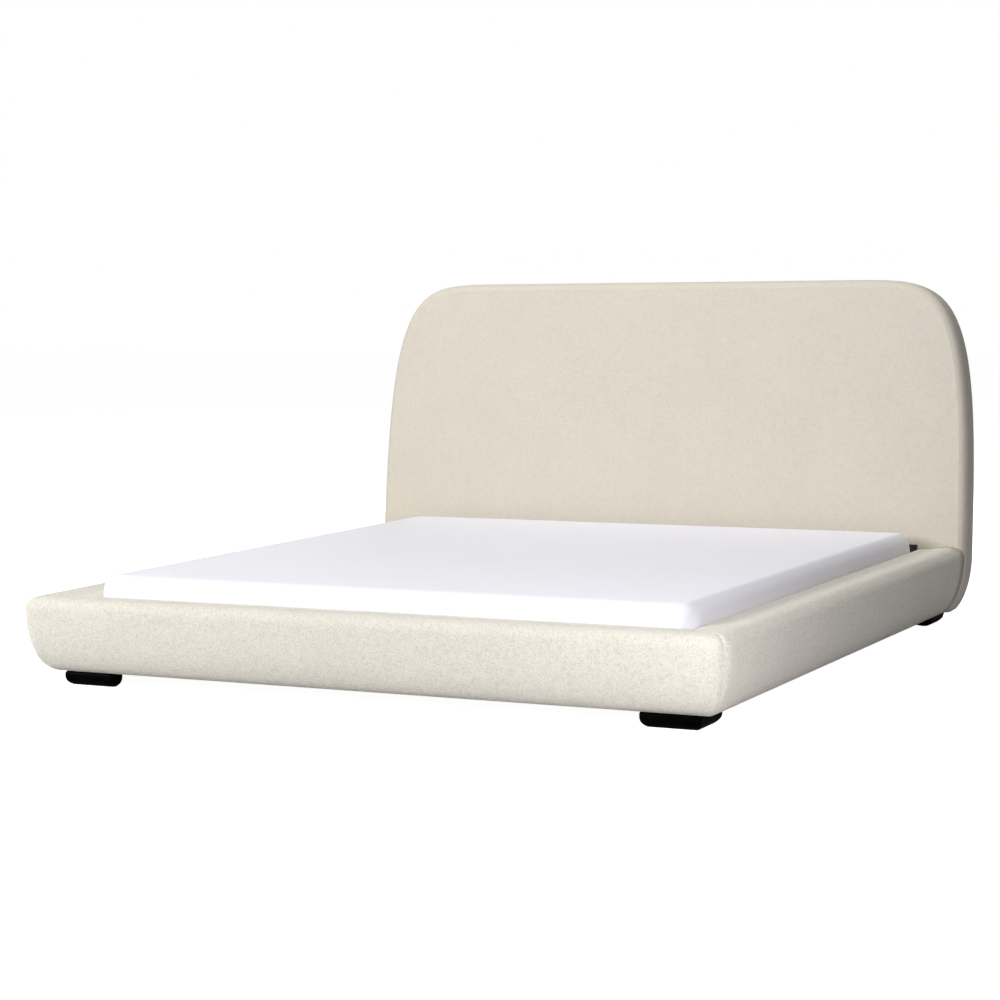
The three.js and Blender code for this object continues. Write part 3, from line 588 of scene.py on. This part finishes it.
def headboard_half_line():
    """Right half of the outline as (x, up the slope), from the bottom's middle to the
    top's middle: level bottom, hull curve, then a superellipse into the top."""
    base = RAIL_BOTTOM
    line = [(0.0, base), (HEAD_HALF - RAIL_HULL_DEPTH, base)]
    line += quarter(line[-1], (HEAD_HALF, HEAD_HULL_TOP), 40)
    centre = HEAD_TOP - HEAD_CORNER_DROP
    power = 2 / HEAD_CORNER_EXPONENT
    first = (HEAD_HULL_TOP + HEAD_SIDE_START - centre) / HEAD_CORNER_DROP
    start = math.asin(first ** (1 / power))
    for step in range(241):
        angle = start + (math.pi / 2 - start) * (1 - (1 - step / 240) ** 1.35)
        x = HEAD_CORNER_X + (HEAD_HALF - HEAD_CORNER_X) * math.cos(angle) ** power
        line.append((x, centre + HEAD_CORNER_DROP * math.sin(angle) ** power))
    line.append((0.0, HEAD_TOP))
    return np.array(line)


def even_points(line, count):
    """count + 1 points evenly spaced along a path."""
    steps = np.linalg.norm(np.diff(line, axis=0), axis=1)
    along = np.concatenate([[0], np.cumsum(steps)])
    spots = np.linspace(0, along[-1], count + 1)
    return np.stack([np.interp(spots, along, line[:, axis]) for axis in (0, 1)], axis=1)


def split_line(line, share):
    """Cut a path at a share of its length."""
    fine = even_points(line, 4000)
    cut = int(round(share * 4000))
    return fine[: cut + 1], fine[cut:]


def four_sides(half, bottom_share, top_share, across, up):
    """Outline from its right half, as one closed ring that starts at the bottom left and
    runs anticlockwise with across, up, across and up steps, so opposite sides match."""
    bottom, rest = split_line(half, bottom_share)
    side, top = split_line(rest, 1 - top_share)
    mirror = np.array([-1, 1])
    bottom_side = even_points(np.vstack([(bottom * mirror)[::-1], bottom[1:]]), across)
    right_side = even_points(side, up)
    top_side = even_points(np.vstack([top, (top * mirror)[::-1][1:]]), across)
    left_side = even_points((side * mirror)[::-1], up)
    return np.vstack([s[:-1] for s in (bottom_side, right_side, top_side, left_side)])


def patch_inside(ring, across, up):
    """Grid of points filled in between the four sides of a ring, as rows from the bottom."""
    closed = np.vstack([ring, ring[:1]])
    bottom = closed[: across + 1]
    right = closed[across : across + up + 1]
    top = closed[across + up : 2 * across + up + 1][::-1]
    left = closed[2 * across + up :][::-1]
    u = np.linspace(0, 1, across + 1)[None, :, None]
    v = np.linspace(0, 1, up + 1)[:, None, None]
    corners = (
        (1 - u) * (1 - v) * bottom[0] + u * (1 - v) * bottom[-1]
        + (1 - u) * v * top[0] + u * v * top[-1]
    )
    return (
        (1 - v) * bottom[None] + v * top[None] + (1 - u) * left[:, None] + u * right[:, None]
        - corners
    )


def lofted_rings(rings, across, up, cap_first, cap_last):
    """Vertices and faces of rings of 3-D points, closed by patched caps where given.
    A cap is a grid of 3-D points, whose edge points are those of the end ring."""
    vertices = [tuple(p) for ring in rings for p in ring]
    count = len(rings[0])
    faces = []
    for r in range(len(rings) - 1):
        for c in range(count):
            a, b = r * count + c, r * count + (c + 1) % count
            faces.append((a, b, b + count, a + count))
    for grid, first in ((cap_first, 0), (cap_last, (len(rings) - 1) * count)):
        if grid is None:
            continue
        number = {}
        for row in range(up + 1):
            for column in range(across + 1):
                if row == 0:
                    index = column
                elif column == across:
                    index = across + row
                elif row == up:
                    index = 2 * across + up - column
                elif column == 0:
                    index = (2 * across + 2 * up - row) % count
                else:
                    vertices.append(tuple(grid[row][column]))
                    number[row, column] = len(vertices) - 1
                    continue
                number[row, column] = first + index % count
        for row in range(up):
            for column in range(across):
                quad = [(row, column), (row, column + 1), (row + 1, column + 1), (row + 1, column)]
                faces.append(tuple(number[k] for k in quad))
    return vertices, faces


def to_headboard(x, up, depth):
    """From the headboard's own plane to the bed, cut level at the bottom."""
    bottom = RAIL_BOTTOM + HEADBOARD_GAP
    lowest = (bottom + depth * math.sin(HEAD_LEAN)) / math.cos(HEAD_LEAN)
    up = max(up, lowest)
    y = up * math.sin(HEAD_LEAN) + depth * math.cos(HEAD_LEAN)
    z = up * math.cos(HEAD_LEAN) - depth * math.sin(HEAD_LEAN)
    return (x, OPENING_FOOT_Y + OPENING_LENGTH + y, z)


def headboard_profile():
    """(inset, depth) pairs from the staples at the back, along the side band and over
    the seam to the front panel."""
    points = [(inset, BACK_PANEL_DEPTH) for inset in (0.0300, 0.0180, BACK_PANEL_INSET)]
    points += [(BACK_PANEL_INSET, 0.0960), (0.0060, HEAD_THICKNESS), (0.0030, 0.0968)]
    points += [(0.0008, 0.0952), (0.0, 0.0920), (-0.0008, 0.0800), (-0.0010, 0.0620)]
    points += [(-0.0008, 0.0450)]
    last = math.acos(1 - HEAD_SEAM_INSET / HEAD_EDGE_ROUND)
    for step in range(15):
        angle = last * step / 14
        inset = HEAD_EDGE_ROUND * (1 - math.cos(angle))
        points.append((inset, HEAD_EDGE_ROUND * (1 - math.sin(angle))))
    seam = HEAD_SEAM_INSET
    points += [(seam + 0.0006, 0.00125), (seam + 0.0013, 0.00115), (seam + 0.0021, 0.0006)]
    points += [(seam + 0.0032, 0.0001), (seam + 0.0050, -0.0002), (seam + 0.0075, -0.0003)]
    points += [(seam + 0.0110, -0.0003), (seam + 0.0150, -0.0002)]
    return points


def distance_inside(points, ring):
    """Distance of each point to the nearest point of a finely spaced ring."""
    fine = even_points(np.vstack([ring, ring[:1]]), 3000)
    return np.array([np.min(np.hypot(fine[:, 0] - p[0], fine[:, 1] - p[1])) for p in points])


def headboard_cover():
    """Side band, seam and front panel, open at the back inside its stapled edge."""
    ring = four_sides(headboard_half_line(), 0.40, 0.30, HEAD_ACROSS, HEAD_UP)
    normals = line_normals(ring, closed=True)
    profile = headboard_profile()
    rings = []
    for inset, depth in profile:
        offset = ring + normals * inset
        rings.append([to_headboard(x, s, depth) for x, s in offset])
    last_inset, last_depth = profile[-1]
    flat = patch_inside(ring + normals * last_inset, HEAD_ACROSS, HEAD_UP).reshape(-1, 2)
    far = distance_inside(flat, ring)
    swell = HEAD_CROWN * (1 - np.exp(-np.maximum(far - last_inset, 0) / HEAD_CROWN_REACH))
    panel = []
    for (x, s), rise in zip(flat, swell):
        soft = min(rise / HEAD_CROWN * 1.6, 1)
        uneven = ripple((x, 0.0, s), HEAD_SLACK_SIZE, HEAD_SLACK_DEPTH) * soft
        panel.append(to_headboard(x, s, last_depth - rise - uneven))
    cap = np.array(panel).reshape(HEAD_UP + 1, HEAD_ACROSS + 1, 3)
    return lofted_rings(rings, HEAD_ACROSS, HEAD_UP, None, cap)


head_vertices, head_faces = headboard_cover()
# The headboard's copy of the boucle is painted darker than the rails' as shade.
head_boucle = boucle_material("headboard_boucle", HEAD_LOOP_PAINTED_SHADE, HEAD_LOOP_COOL_PAINTED_SHADE, HEAD_CREVICE_PAINTED_SHADE, 0.5)
headboard = mesh_piece("headboard_upholstery", head_vertices, head_faces, head_boucle)
face_outward(headboard)
cloth = headboard.modifiers.new("cloth", "SOLIDIFY")
cloth.thickness = COVER_THICKNESS * 0.9
cloth.offset = -1
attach(headboard, "bed")
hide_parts("headboard_cover")

# ---------------------------------------------------------------------------
# Corner brackets and bolts. Folded steel angles, powder coated black, inside each
# corner of the opening; zinc-plated hex-socket bolts pull the rails together and
# the side rails against the headboard.
# ---------------------------------------------------------------------------

COAT_BLACK = (0.010, 0.010, 0.011, 1)
COAT_WORN = (0.028, 0.028, 0.030, 1)
ZINC_DARK = (0.46, 0.47, 0.49, 1)
ZINC_BRIGHT = (0.66, 0.67, 0.68, 1)
BRACKET_EDGE = 0.0008
SHARP_ANGLE = 0.6


def coated_steel_material():
    """Black powder coat with a fine orange-peel grain, greyer where it has worn."""
    material, shader = start_material("black_powder_coat", 0.5)
    shader.inputs["Specular IOR Level"].default_value = 0.5
    grain = add_node(
        material,
        "ShaderNodeTexNoise",
        {"Vector": place_in_bed(material), "Scale": 1600.0, "Detail": 2.0},
    )
    wear = add_node(
        material,
        "ShaderNodeTexNoise",
        {"Vector": place_in_bed(material), "Scale": 40.0, "Detail": 5.0},
    )
    colour = ramp(material, wear.outputs["Fac"], [(0.4, COAT_BLACK), (0.75, COAT_WORN)])
    link(material, colour, shader.inputs["Base Color"])
    rough = ramp(material, wear.outputs["Fac"], [(0.3, grey(0.42)), (0.7, grey(0.6))])
    link(material, rough, shader.inputs["Roughness"])
    link(material, bump(material, grain.outputs["Fac"], 0.0002, 0.35), shader.inputs["Normal"])
    return material


def zinc_material():
    """Zinc plate with a cloudy bloom."""
    material, shader = start_material("zinc_plate", 0.32, 1.0)
    bloom = add_node(
        material,
        "ShaderNodeTexNoise",
        {"Vector": place_in_bed(material), "Scale": 320.0, "Detail": 5.0},
    )
    colour = ramp(material, bloom.outputs["Fac"], [(0.35, ZINC_DARK), (0.65, ZINC_BRIGHT)])
    link(material, colour, shader.inputs["Base Color"])
    rough = ramp(material, bloom.outputs["Fac"], [(0.3, grey(0.24)), (0.7, grey(0.42))])
    link(material, rough, shader.inputs["Roughness"])
    link(material, bump(material, bloom.outputs["Fac"], 0.0001, 0.3), shader.inputs["Normal"])
    return material


def eased_copy(node, name, radius, material):
    """A piece made from its plain solid with the sharp edges eased, as sanding or
    folding leaves them."""
    work = bmesh.new()
    work.from_mesh(nodes[node].data)
    bmesh.ops.remove_doubles(work, verts=work.verts, dist=1e-6)
    bmesh.ops.dissolve_limit(
        work, angle_limit=math.radians(0.5), verts=work.verts, edges=work.edges
    )
    sharp = [
        edge
        for edge in work.edges
        if len(edge.link_faces) == 2 and edge.calc_face_angle() > SHARP_ANGLE
    ]
    bmesh.ops.bevel(
        work,
        geom=sharp,
        offset=radius,
        segments=3,
        profile=0.5,
        affect="EDGES",
        clamp_overlap=True,
    )
    mesh = bpy.data.meshes.new(name)
    work.to_mesh(mesh)
    work.free()
    mesh.materials.append(material)
    piece = bpy.data.objects.new(name, mesh)
    bpy.context.scene.collection.objects.link(piece)
    mesh.polygons.foreach_set("use_smooth", [True] * len(mesh.polygons))
    mesh.set_sharp_from_angle(angle=math.radians(35))
    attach(piece, "bed")
    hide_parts(node)


powder_coat = coated_steel_material()
zinc = zinc_material()
for end in ("foot", "head"):
    for side in ("left", "right"):
        name = f"bracket_{end}_{side}"
        eased_copy(name, f"corner_{name}", BRACKET_EDGE, powder_coat)
        finish_node(f"bolt_{end}_{side}", zinc)
        finish_node(f"bolt_{end}_side_{side}", zinc)

# ---------------------------------------------------------------------------
# Slat deck. Twelve sanded pine slats lie across two pine ledgers and a centre beam,
# which hangs in steel cradles and stands on two pine legs with screw-in glides.
# ---------------------------------------------------------------------------

PINE_LIGHT = (0.74, 0.54, 0.31, 1)
PINE_DARK = (0.57, 0.37, 0.19, 1)
PLASTIC_BLACK = (0.012, 0.012, 0.013, 1)
PLASTIC_SCUFFED = (0.030, 0.030, 0.031, 1)
SANDED_EDGE = 0.003
LEDGER_EDGE = 0.002
CRADLE_EDGE = 0.0006

pine_across = wood_material("pine_slat", PINE_LIGHT, PINE_DARK, 0.55, 0)
pine_long = wood_material("pine_beam", PINE_LIGHT, PINE_DARK, 0.58, 1)
pine_upright = wood_material("pine_leg", PINE_LIGHT, PINE_DARK, 0.58, 2)


def glide_material():
    """Injection-moulded black plastic with a fine spark finish."""
    material, shader = start_material("glide_plastic", 0.5)
    spark = add_node(
        material,
        "ShaderNodeTexNoise",
        {"Vector": place_in_bed(material), "Scale": 2200.0, "Detail": 2.0},
    )
    scuff = add_node(
        material,
        "ShaderNodeTexNoise",
        {"Vector": place_in_bed(material), "Scale": 130.0, "Detail": 4.0},
    )
    colour = ramp(
        material, scuff.outputs["Fac"], [(0.4, PLASTIC_BLACK), (0.7, PLASTIC_SCUFFED)]
    )
    link(material, colour, shader.inputs["Base Color"])
    link(material, bump(material, spark.outputs["Fac"], 0.0001, 0.5), shader.inputs["Normal"])
    return material


for index in range(1, 13):
    eased_copy(f"slat_{index:02d}", f"deck_slat_{index:02d}", SANDED_EDGE, pine_across)
for side in ("left", "right"):
    eased_copy(f"{side}_ledger", f"{side}_deck_ledger", LEDGER_EDGE, pine_long)
eased_copy("centre_beam", "deck_beam", SANDED_EDGE, pine_long)
glide_plastic = glide_material()
for end in ("foot", "head"):
    eased_copy(
        f"beam_hanger_{end}", f"beam_cradle_{end}", CRADLE_EDGE, powder_coat
    )
for index in (1, 2):
    eased_copy(f"centre_leg_{index}", f"deck_leg_{index}", SANDED_EDGE, pine_upright)
    finish_node(f"centre_glide_{index}", glide_plastic)

# ---------------------------------------------------------------------------
# Feet. Corner blocks of solid wood, lacquered satin black: a right angle towards
# the bed's corner, a diagonal inner face, rounded ends, and sides that curve in
# to the floor. Each is screwed up into the rail and has a felt pad.
# ---------------------------------------------------------------------------

FOOT_WIDTH = 0.184
FOOT_DEPTH = 0.172
FOOT_SIDE_SETBACK = 0.103
FOOT_OUTER_X = OPENING_HALF + RAIL_WIDTH - FOOT_SIDE_SETBACK
FOOT_END = 0.044
FOOT_CORNER_ROUND = 0.006
FOOT_END_ROUND = 0.022
FOOT_TAPER = 0.010
FOOT_FRONT_OVERHANG = 0.014
FOOT_HEAD_REACH = 0.045
FOOT_FRONT_Y = OPENING_FOOT_Y - RAIL_WIDTH + RAIL_HULL_DEPTH - FOOT_FRONT_OVERHANG
HEADBOARD_Y = OPENING_FOOT_Y + OPENING_LENGTH + RAIL_BOTTOM * math.tan(HEAD_LEAN)
FOOT_HEAD_Y = HEADBOARD_Y + HEAD_THICKNESS + FOOT_HEAD_REACH
FOOT_LOW = 0.0023
FOOT_HIGH = RAIL_BOTTOM - 0.0003
FOOT_RING, FOOT_SIDE = 160, 40
LACQUER_BLACK = (0.0006, 0.0006, 0.0008, 1)
LACQUER_WORN = (0.0020, 0.0020, 0.0024, 1)
FELT_DARK = (0.020, 0.019, 0.018, 1)
FELT_LIGHT = (0.060, 0.056, 0.052, 1)


def lacquer_material():
    """Satin black lacquer over open grain, a touch greyer where it has been rubbed."""
    material, shader = start_material("black_lacquer", 0.4)
    shader.inputs["Specular IOR Level"].default_value = 0.02
    grain = add_node(
        material,
        "ShaderNodeTexNoise",
        {
            "Vector": place_in_bed(material, (12, 160, 420)),
            "Scale": 1.0,
            "Detail": 5.0,
            "Distortion": 0.4,
        },
    )
    rub = add_node(
        material,
        "ShaderNodeTexNoise",
        {"Vector": place_in_bed(material), "Scale": 26.0, "Detail": 5.0},
    )
    colour = ramp(material, rub.outputs["Fac"], [(0.45, LACQUER_BLACK), (0.8, LACQUER_WORN)])
    link(material, colour, shader.inputs["Base Color"])
    rough = ramp(material, rub.outputs["Fac"], [(0.3, grey(0.36)), (0.7, grey(0.5))])
    link(material, rough, shader.inputs["Roughness"])
    link(material, bump(material, grain.outputs["Fac"], 0.0003, 0.35), shader.inputs["Normal"])
    return material


def felt_material():
    """Pressed dark grey felt with a matted surface."""
    material, shader = start_material("grey_felt", 0.98)
    shader.inputs["Sheen Weight"].default_value = 0.3
    fibres = add_node(
        material,
        "ShaderNodeTexNoise",
        {"Vector": place_in_bed(material), "Scale": 700.0, "Detail": 6.0, "Distortion": 1.2},
    )
    colour = ramp(material, fibres.outputs["Fac"], [(0.35, FELT_DARK), (0.7, FELT_LIGHT)])
    link(material, colour, shader.inputs["Base Color"])
    link(material, bump(material, fibres.outputs["Fac"], 0.0006, 0.8), shader.inputs["Normal"])
    return material


def foot_corners(inset):
    """Corners of the front right foot's plan, taken in from its widest outline."""
    slope = math.atan2(FOOT_WIDTH - FOOT_END, FOOT_DEPTH - FOOT_END)
    end = FOOT_END - inset * math.tan((math.pi / 2 - slope) / 2)
    near = FOOT_END - inset * math.tan(slope / 2)
    return np.array([
        (-inset, inset),
        (-inset, FOOT_DEPTH - inset),
        (-end, FOOT_DEPTH - inset),
        (-(FOOT_WIDTH - inset), near),
        (-(FOOT_WIDTH - inset), inset),
    ])


def foot_ring(inset):
    """Closed plan line with every corner rounded by a curve."""
    corners = foot_corners(inset)
    line = []
    for index, corner in enumerate(corners):
        reach = FOOT_CORNER_ROUND if index == 0 else FOOT_END_ROUND
        ends = []
        for other in (corners[index - 1], corners[(index + 1) % len(corners)]):
            length = np.linalg.norm(other - corner)
            ends.append(corner + (other - corner) * min(reach / length, 0.45))
        for t in np.linspace(0, 1, 14):
            line.append((1 - t) ** 2 * ends[0] + 2 * t * (1 - t) * corner + t * t * ends[1])
    line.append(line[0])
    return even_points(np.array(line), FOOT_RING)[:-1]


def foot_mesh(side, head_end):
    """Block foot as rings up its side; side is -1 or 1, and head_end turns it round."""
    height = FOOT_HIGH - FOOT_LOW
    layers = [
        (FOOT_TAPER + 0.010, 0.0), (FOOT_TAPER + 0.0042, 0.0), (FOOT_TAPER + 0.0024, 0.0006),
        (FOOT_TAPER + 0.0008, 0.0016), (FOOT_TAPER, 0.0026), (FOOT_TAPER * 0.78, 0.0046),
        (FOOT_TAPER * 0.56, 0.0070), (FOOT_TAPER * 0.36, 0.0100), (FOOT_TAPER * 0.20, 0.0134),
        (FOOT_TAPER * 0.08, 0.0176), (0.0, 0.0230), (0.0, height - 0.0062),
        (0.0003, height - 0.0044), (0.0011, height - 0.0026), (0.0023, height - 0.0010),
        (0.0038, height - 0.0002), (0.0055, height), (0.0110, height),
    ]

    def place(x, y, z):
        y = FOOT_HEAD_Y - y if head_end else FOOT_FRONT_Y + y
        return (side * (FOOT_OUTER_X + x), y, FOOT_LOW + z)

    rings = [[place(x, y, z) for x, y in foot_ring(inset)] for inset, z in layers]
    caps = []
    for inset, z in (layers[0], layers[-1]):
        grid = patch_inside(foot_ring(inset), FOOT_SIDE, FOOT_SIDE)
        caps.append([[place(x, y, z) for x, y in row] for row in grid])
    return lofted_rings(rings, FOOT_SIDE, FOOT_SIDE, *caps)


lacquer = lacquer_material()
felt = felt_material()
for end in ("foot", "head"):
    for side, sign in (("left", -1), ("right", 1)):
        vertices, faces = foot_mesh(sign, end == "head")
        foot = mesh_piece(f"block_{end}_{side}", vertices, faces, lacquer)
        face_outward(foot)
        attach(foot, "bed")
        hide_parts(f"foot_{end}_{side}")
        finish_node(f"pad_{end}_{side}", felt)

# ---------------------------------------------------------------------------
# Mattress. A foam core in a stretchy white knitted cover; it lies loose on the slats
# in the opening, its sides swell towards the rails and its edges are soft and round.
# ---------------------------------------------------------------------------

MATTRESS_LOW, MATTRESS_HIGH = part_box("mattress_cover")
MATTRESS_CORNER = 0.048
MATTRESS_EDGE = 0.046
MATTRESS_BULGE = 0.0035
MATTRESS_CROWN = 0.003
MATTRESS_CROWN_REACH = 0.25
KNIT_THICKNESS = 0.0035
KNIT_SLACK_SIZE, KNIT_SLACK_DEPTH, KNIT_SLACK_REACH = 0.35, 0.0016, 0.12
MATTRESS_ACROSS, MATTRESS_UP = 60, 62
KNIT_WHITE = (0.900, 0.907, 0.955, 1)
KNIT_SHADE = (0.890, 0.897, 0.943, 1)


def knit_material():
    """Fine white jersey: tiny ribs one way, softer courses the other."""
    material, shader = start_material("white_jersey", 0.88)
    shader.inputs["Sheen Weight"].default_value = 0.15
    shader.inputs["Sheen Roughness"].default_value = 0.4
    coords = place_in_bed(material)
    ribs = add_node(
        material,
        "ShaderNodeTexWave",
        {"Vector": coords, "Scale": 150.0, "Distortion": 0.6, "Detail": 1.0},
        bands_direction="X",
    )
    courses = add_node(
        material,
        "ShaderNodeTexWave",
        {"Vector": coords, "Scale": 110.0, "Distortion": 0.8, "Detail": 1.0},
        bands_direction="Y",
    )
    tone = add_node(material, "ShaderNodeTexNoise", {"Vector": coords, "Scale": 7.0, "Detail": 2.0})
    colour = ramp(material, tone.outputs["Fac"], [(0.25, KNIT_SHADE), (0.55, KNIT_WHITE)])
    link(material, colour, shader.inputs["Base Color"])
    relief = bump(material, ribs.outputs["Fac"], 0.0003, 0.4)
    relief = bump(material, courses.outputs["Fac"], 0.0002, 0.4, relief)
    link(material, relief, shader.inputs["Normal"])
    return material


def rounded_rectangle(half_x, half_y, radius):
    """Ring of a rectangle with rounded corners, its sides split at the corners' middles."""
    turns = [step / 24 * math.pi / 2 for step in range(25)]
    nears = [(1 - math.sin(angle), 1 - math.cos(angle)) for angle in turns]
    line = [(0.0, -half_y)]
    line += [(half_x - radius * x, -half_y + radius * y) for x, y in nears]
    line += [(half_x - radius * y, half_y - radius * x) for x, y in nears]
    line.append((0.0, half_y))
    line = np.array(line)
    length = np.linalg.norm(np.diff(line, axis=0), axis=1).sum()
    share = (half_x - radius + radius * math.pi / 4) / length
    return four_sides(line, share, share / (1 - share), MATTRESS_ACROSS, MATTRESS_UP)


def mattress_mesh(skin):
    """Rounded slab, skin below the surface of the made-up mattress: rings from the
    underside up the swelling side and over the edge."""
    across, up = MATTRESS_ACROSS, MATTRESS_UP
    low, high = MATTRESS_LOW + Vector((skin,) * 3), MATTRESS_HIGH - Vector((skin,) * 3)
    half_x, half_y = (high.x - low.x) / 2, (high.y - low.y) / 2
    edge, corner = MATTRESS_EDGE - skin, MATTRESS_CORNER - skin
    middle = ((high.x + low.x) / 2, (high.y + low.y) / 2)

    def ring_at(inset):
        return rounded_rectangle(half_x - inset, half_y - inset, max(corner - inset, 0.004))

    height = high.z - low.z
    profile = [(0.090, 0.0), (0.060, 0.0)]
    for step in range(13):
        angle = step / 12 * math.pi / 2
        profile.append((edge * (1 - math.sin(angle)), edge * (1 - math.cos(angle))))
    for step in range(1, 12):
        along = step / 12
        swell = MATTRESS_BULGE * math.sin(math.pi * along) ** 0.7
        profile.append((-swell, edge + (height - 2 * edge) * along))
    for step in range(17):
        angle = step / 16 * math.pi / 2
        profile.append((edge * (1 - math.cos(angle)), height - edge * (1 - math.sin(angle))))
    for step, lift in ((0.008, 0.0002), (0.020, 0.0005), (0.036, 0.0010)):
        profile.append((edge + step, height + lift))
    rings = [
        [(x + middle[0], y + middle[1], low.z + z) for x, y in ring_at(inset)]
        for inset, z in profile
    ]
    caps = []
    for (inset, z), crown in ((profile[0], 0.0), (profile[-1], MATTRESS_CROWN)):
        grid = patch_inside(ring_at(inset), across, up)
        solid = np.zeros((up + 1, across + 1, 3))
        for row in range(up + 1):
            for column in range(across + 1):
                x, y = grid[row][column]
                far = max(min(half_x - abs(x), half_y - abs(y)) - inset, 0)
                rise = crown * (1 - math.exp(-far / MATTRESS_CROWN_REACH))
                if crown > 0:
                    slack = ripple((x, y, 0.0), KNIT_SLACK_SIZE, KNIT_SLACK_DEPTH)
                    rise += slack * (1 - math.exp(-far / KNIT_SLACK_REACH))
                solid[row][column] = (x + middle[0], y + middle[1], low.z + z + rise)
        caps.append(solid)
    return lofted_rings(rings, across, up, *caps)


mattress_vertices, mattress_faces = mattress_mesh(0.0)
mattress = mesh_piece("mattress", mattress_vertices, mattress_faces, knit_material())
face_outward(mattress)
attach(mattress, "mattress")
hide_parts("mattress_cover")
core_vertices, core_faces = mattress_mesh(KNIT_THICKNESS)
core = mesh_piece("mattress_filling", core_vertices, core_faces, foam)
face_outward(core)
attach(core, "mattress")
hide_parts("mattress_core")

# ---------------------------------------------------------------------------
# Room: a pale floor that glows for the camera only, under a bright surround. A large
# soft key light stands left of the foot end, one hangs overhead, a small fill stands
# at the right and one lights the back. The camera is a little above the headboard.
# ---------------------------------------------------------------------------

FLOOR_SIZE = 60.0
FLOOR_COLOUR = (0.62, 0.62, 0.63, 1)
FLOOR_SHADE = (0.60, 0.60, 0.61, 1)
FLOOR_GLOW = 0.97
SKY_COLOUR = (0.93, 0.95, 1.0, 1)
SKY_STRENGTH = 0.03


def floor_material():
    """Matt pale floor, with a glow that only the camera sees and nothing is lit by."""
    material, shader = start_material("pale_floor", 0.75)
    shader.inputs["Specular IOR Level"].default_value = 0.2
    cloud = add_node(
        material,
        "ShaderNodeTexNoise",
        {"Vector": place_in_bed(material), "Scale": 0.8, "Detail": 2.0},
    )
    colour = ramp(material, cloud.outputs["Fac"], [(0.3, FLOOR_SHADE), (0.7, FLOOR_COLOUR)])
    link(material, colour, shader.inputs["Base Color"])
    glow = add_node(material, "ShaderNodeEmission", {"Color": grey(1), "Strength": FLOOR_GLOW})
    lit = add_node(material, "ShaderNodeAddShader")
    link(material, shader.outputs["BSDF"], lit.inputs[0])
    link(material, glow.outputs["Emission"], lit.inputs[1])
    sight = add_node(material, "ShaderNodeLightPath")
    shown = add_node(material, "ShaderNodeMixShader", {0: sight.outputs["Is Camera Ray"]})
    link(material, shader.outputs["BSDF"], shown.inputs[1])
    link(material, lit.outputs["Shader"], shown.inputs[2])
    output = material.node_tree.nodes["Material Output"]
    link(material, shown.outputs["Shader"], output.inputs["Surface"])
    return material


half = FLOOR_SIZE / 2
floor_corners = [(-half, -half, 0), (half, -half, 0), (half, half, 0), (-half, half, 0)]
floor = mesh_piece("floor", floor_corners, [(0, 1, 2, 3)], floor_material())


def area_light(name, place, aim, size, power, colour=(1, 1, 1)):
    """A soft rectangular light at a place, turned to a point, that isn't seen itself."""
    light = bpy.data.lights.new(name, "AREA")
    light.shape = "RECTANGLE"
    light.size, light.size_y = size
    light.energy = power
    light.color = colour
    lamp = bpy.data.objects.new(name, light)
    lamp.location = place
    lamp.rotation_euler = (Vector(aim) - Vector(place)).to_track_quat("-Z", "Y").to_euler()
    lamp.visible_camera = False
    bpy.context.scene.collection.objects.link(lamp)


area_light("key", (-4.8, -6.1, 3.05), (0, 0.2, 0.4), (3.0, 2.5), 490)
area_light("overhead", (-0.1, -0.1, 5.2), (0, 0, 0), (4.0, 4.0), 154, (1.0, 0.98, 0.99))
area_light("fill", (2.5, -2.6, 0.8), (1.0, -0.3, 0.15), (0.9, 0.6), 35, (0.98, 0.95, 1.0))
area_light("back", (-1.5, 5.2, 2.4), (0, 1.1, 0.6), (3.0, 2.0), 110)

world = bpy.data.worlds.new("bright_surround")
world.use_nodes = True
world_nodes, world_links = world.node_tree.nodes, world.node_tree.links
seen = world_nodes["Background"]
seen.inputs["Color"].default_value = grey(1)
seen.inputs["Strength"].default_value = 1.0
lighting = world_nodes.new("ShaderNodeBackground")
lighting.inputs["Color"].default_value = SKY_COLOUR
lighting.inputs["Strength"].default_value = SKY_STRENGTH
either = world_nodes.new("ShaderNodeMixShader")
sight = world_nodes.new("ShaderNodeLightPath")
world_links.new(sight.outputs["Is Camera Ray"], either.inputs[0])
world_links.new(lighting.outputs["Background"], either.inputs[1])
world_links.new(seen.outputs["Background"], either.inputs[2])
world_links.new(either.outputs["Shader"], world_nodes["World Output"].inputs["Surface"])
bpy.context.scene.world = world
bpy.context.scene.view_settings.view_transform = "Standard"

CAMERA_PLACE = (3.4076, -7.1332, 1.1956)
CAMERA_YAW = math.radians(26.331)
CAMERA_PITCH = math.radians(5.097)
CAMERA_ROLL = math.radians(-0.729)
CAMERA_LENS = 88.56
CAMERA_SENSOR = 36.0

camera = bpy.data.cameras.new("camera")
camera.lens = CAMERA_LENS
camera.sensor_width = CAMERA_SENSOR
forward = Vector((
    -math.sin(CAMERA_YAW) * math.cos(CAMERA_PITCH),
    math.cos(CAMERA_YAW) * math.cos(CAMERA_PITCH),
    -math.sin(CAMERA_PITCH),
))
level = Vector((math.cos(CAMERA_YAW), math.sin(CAMERA_YAW), 0))
upright = level.cross(forward)
right = level * math.cos(CAMERA_ROLL) + upright * math.sin(CAMERA_ROLL)
top = upright * math.cos(CAMERA_ROLL) - level * math.sin(CAMERA_ROLL)
viewpoint = bpy.data.objects.new("camera", camera)
turned = Matrix((right, top, -forward)).transposed().to_4x4()
viewpoint.matrix_world = Matrix.Translation(CAMERA_PLACE) @ turned
bpy.context.scene.collection.objects.link(viewpoint)
bpy.context.scene.camera = viewpoint
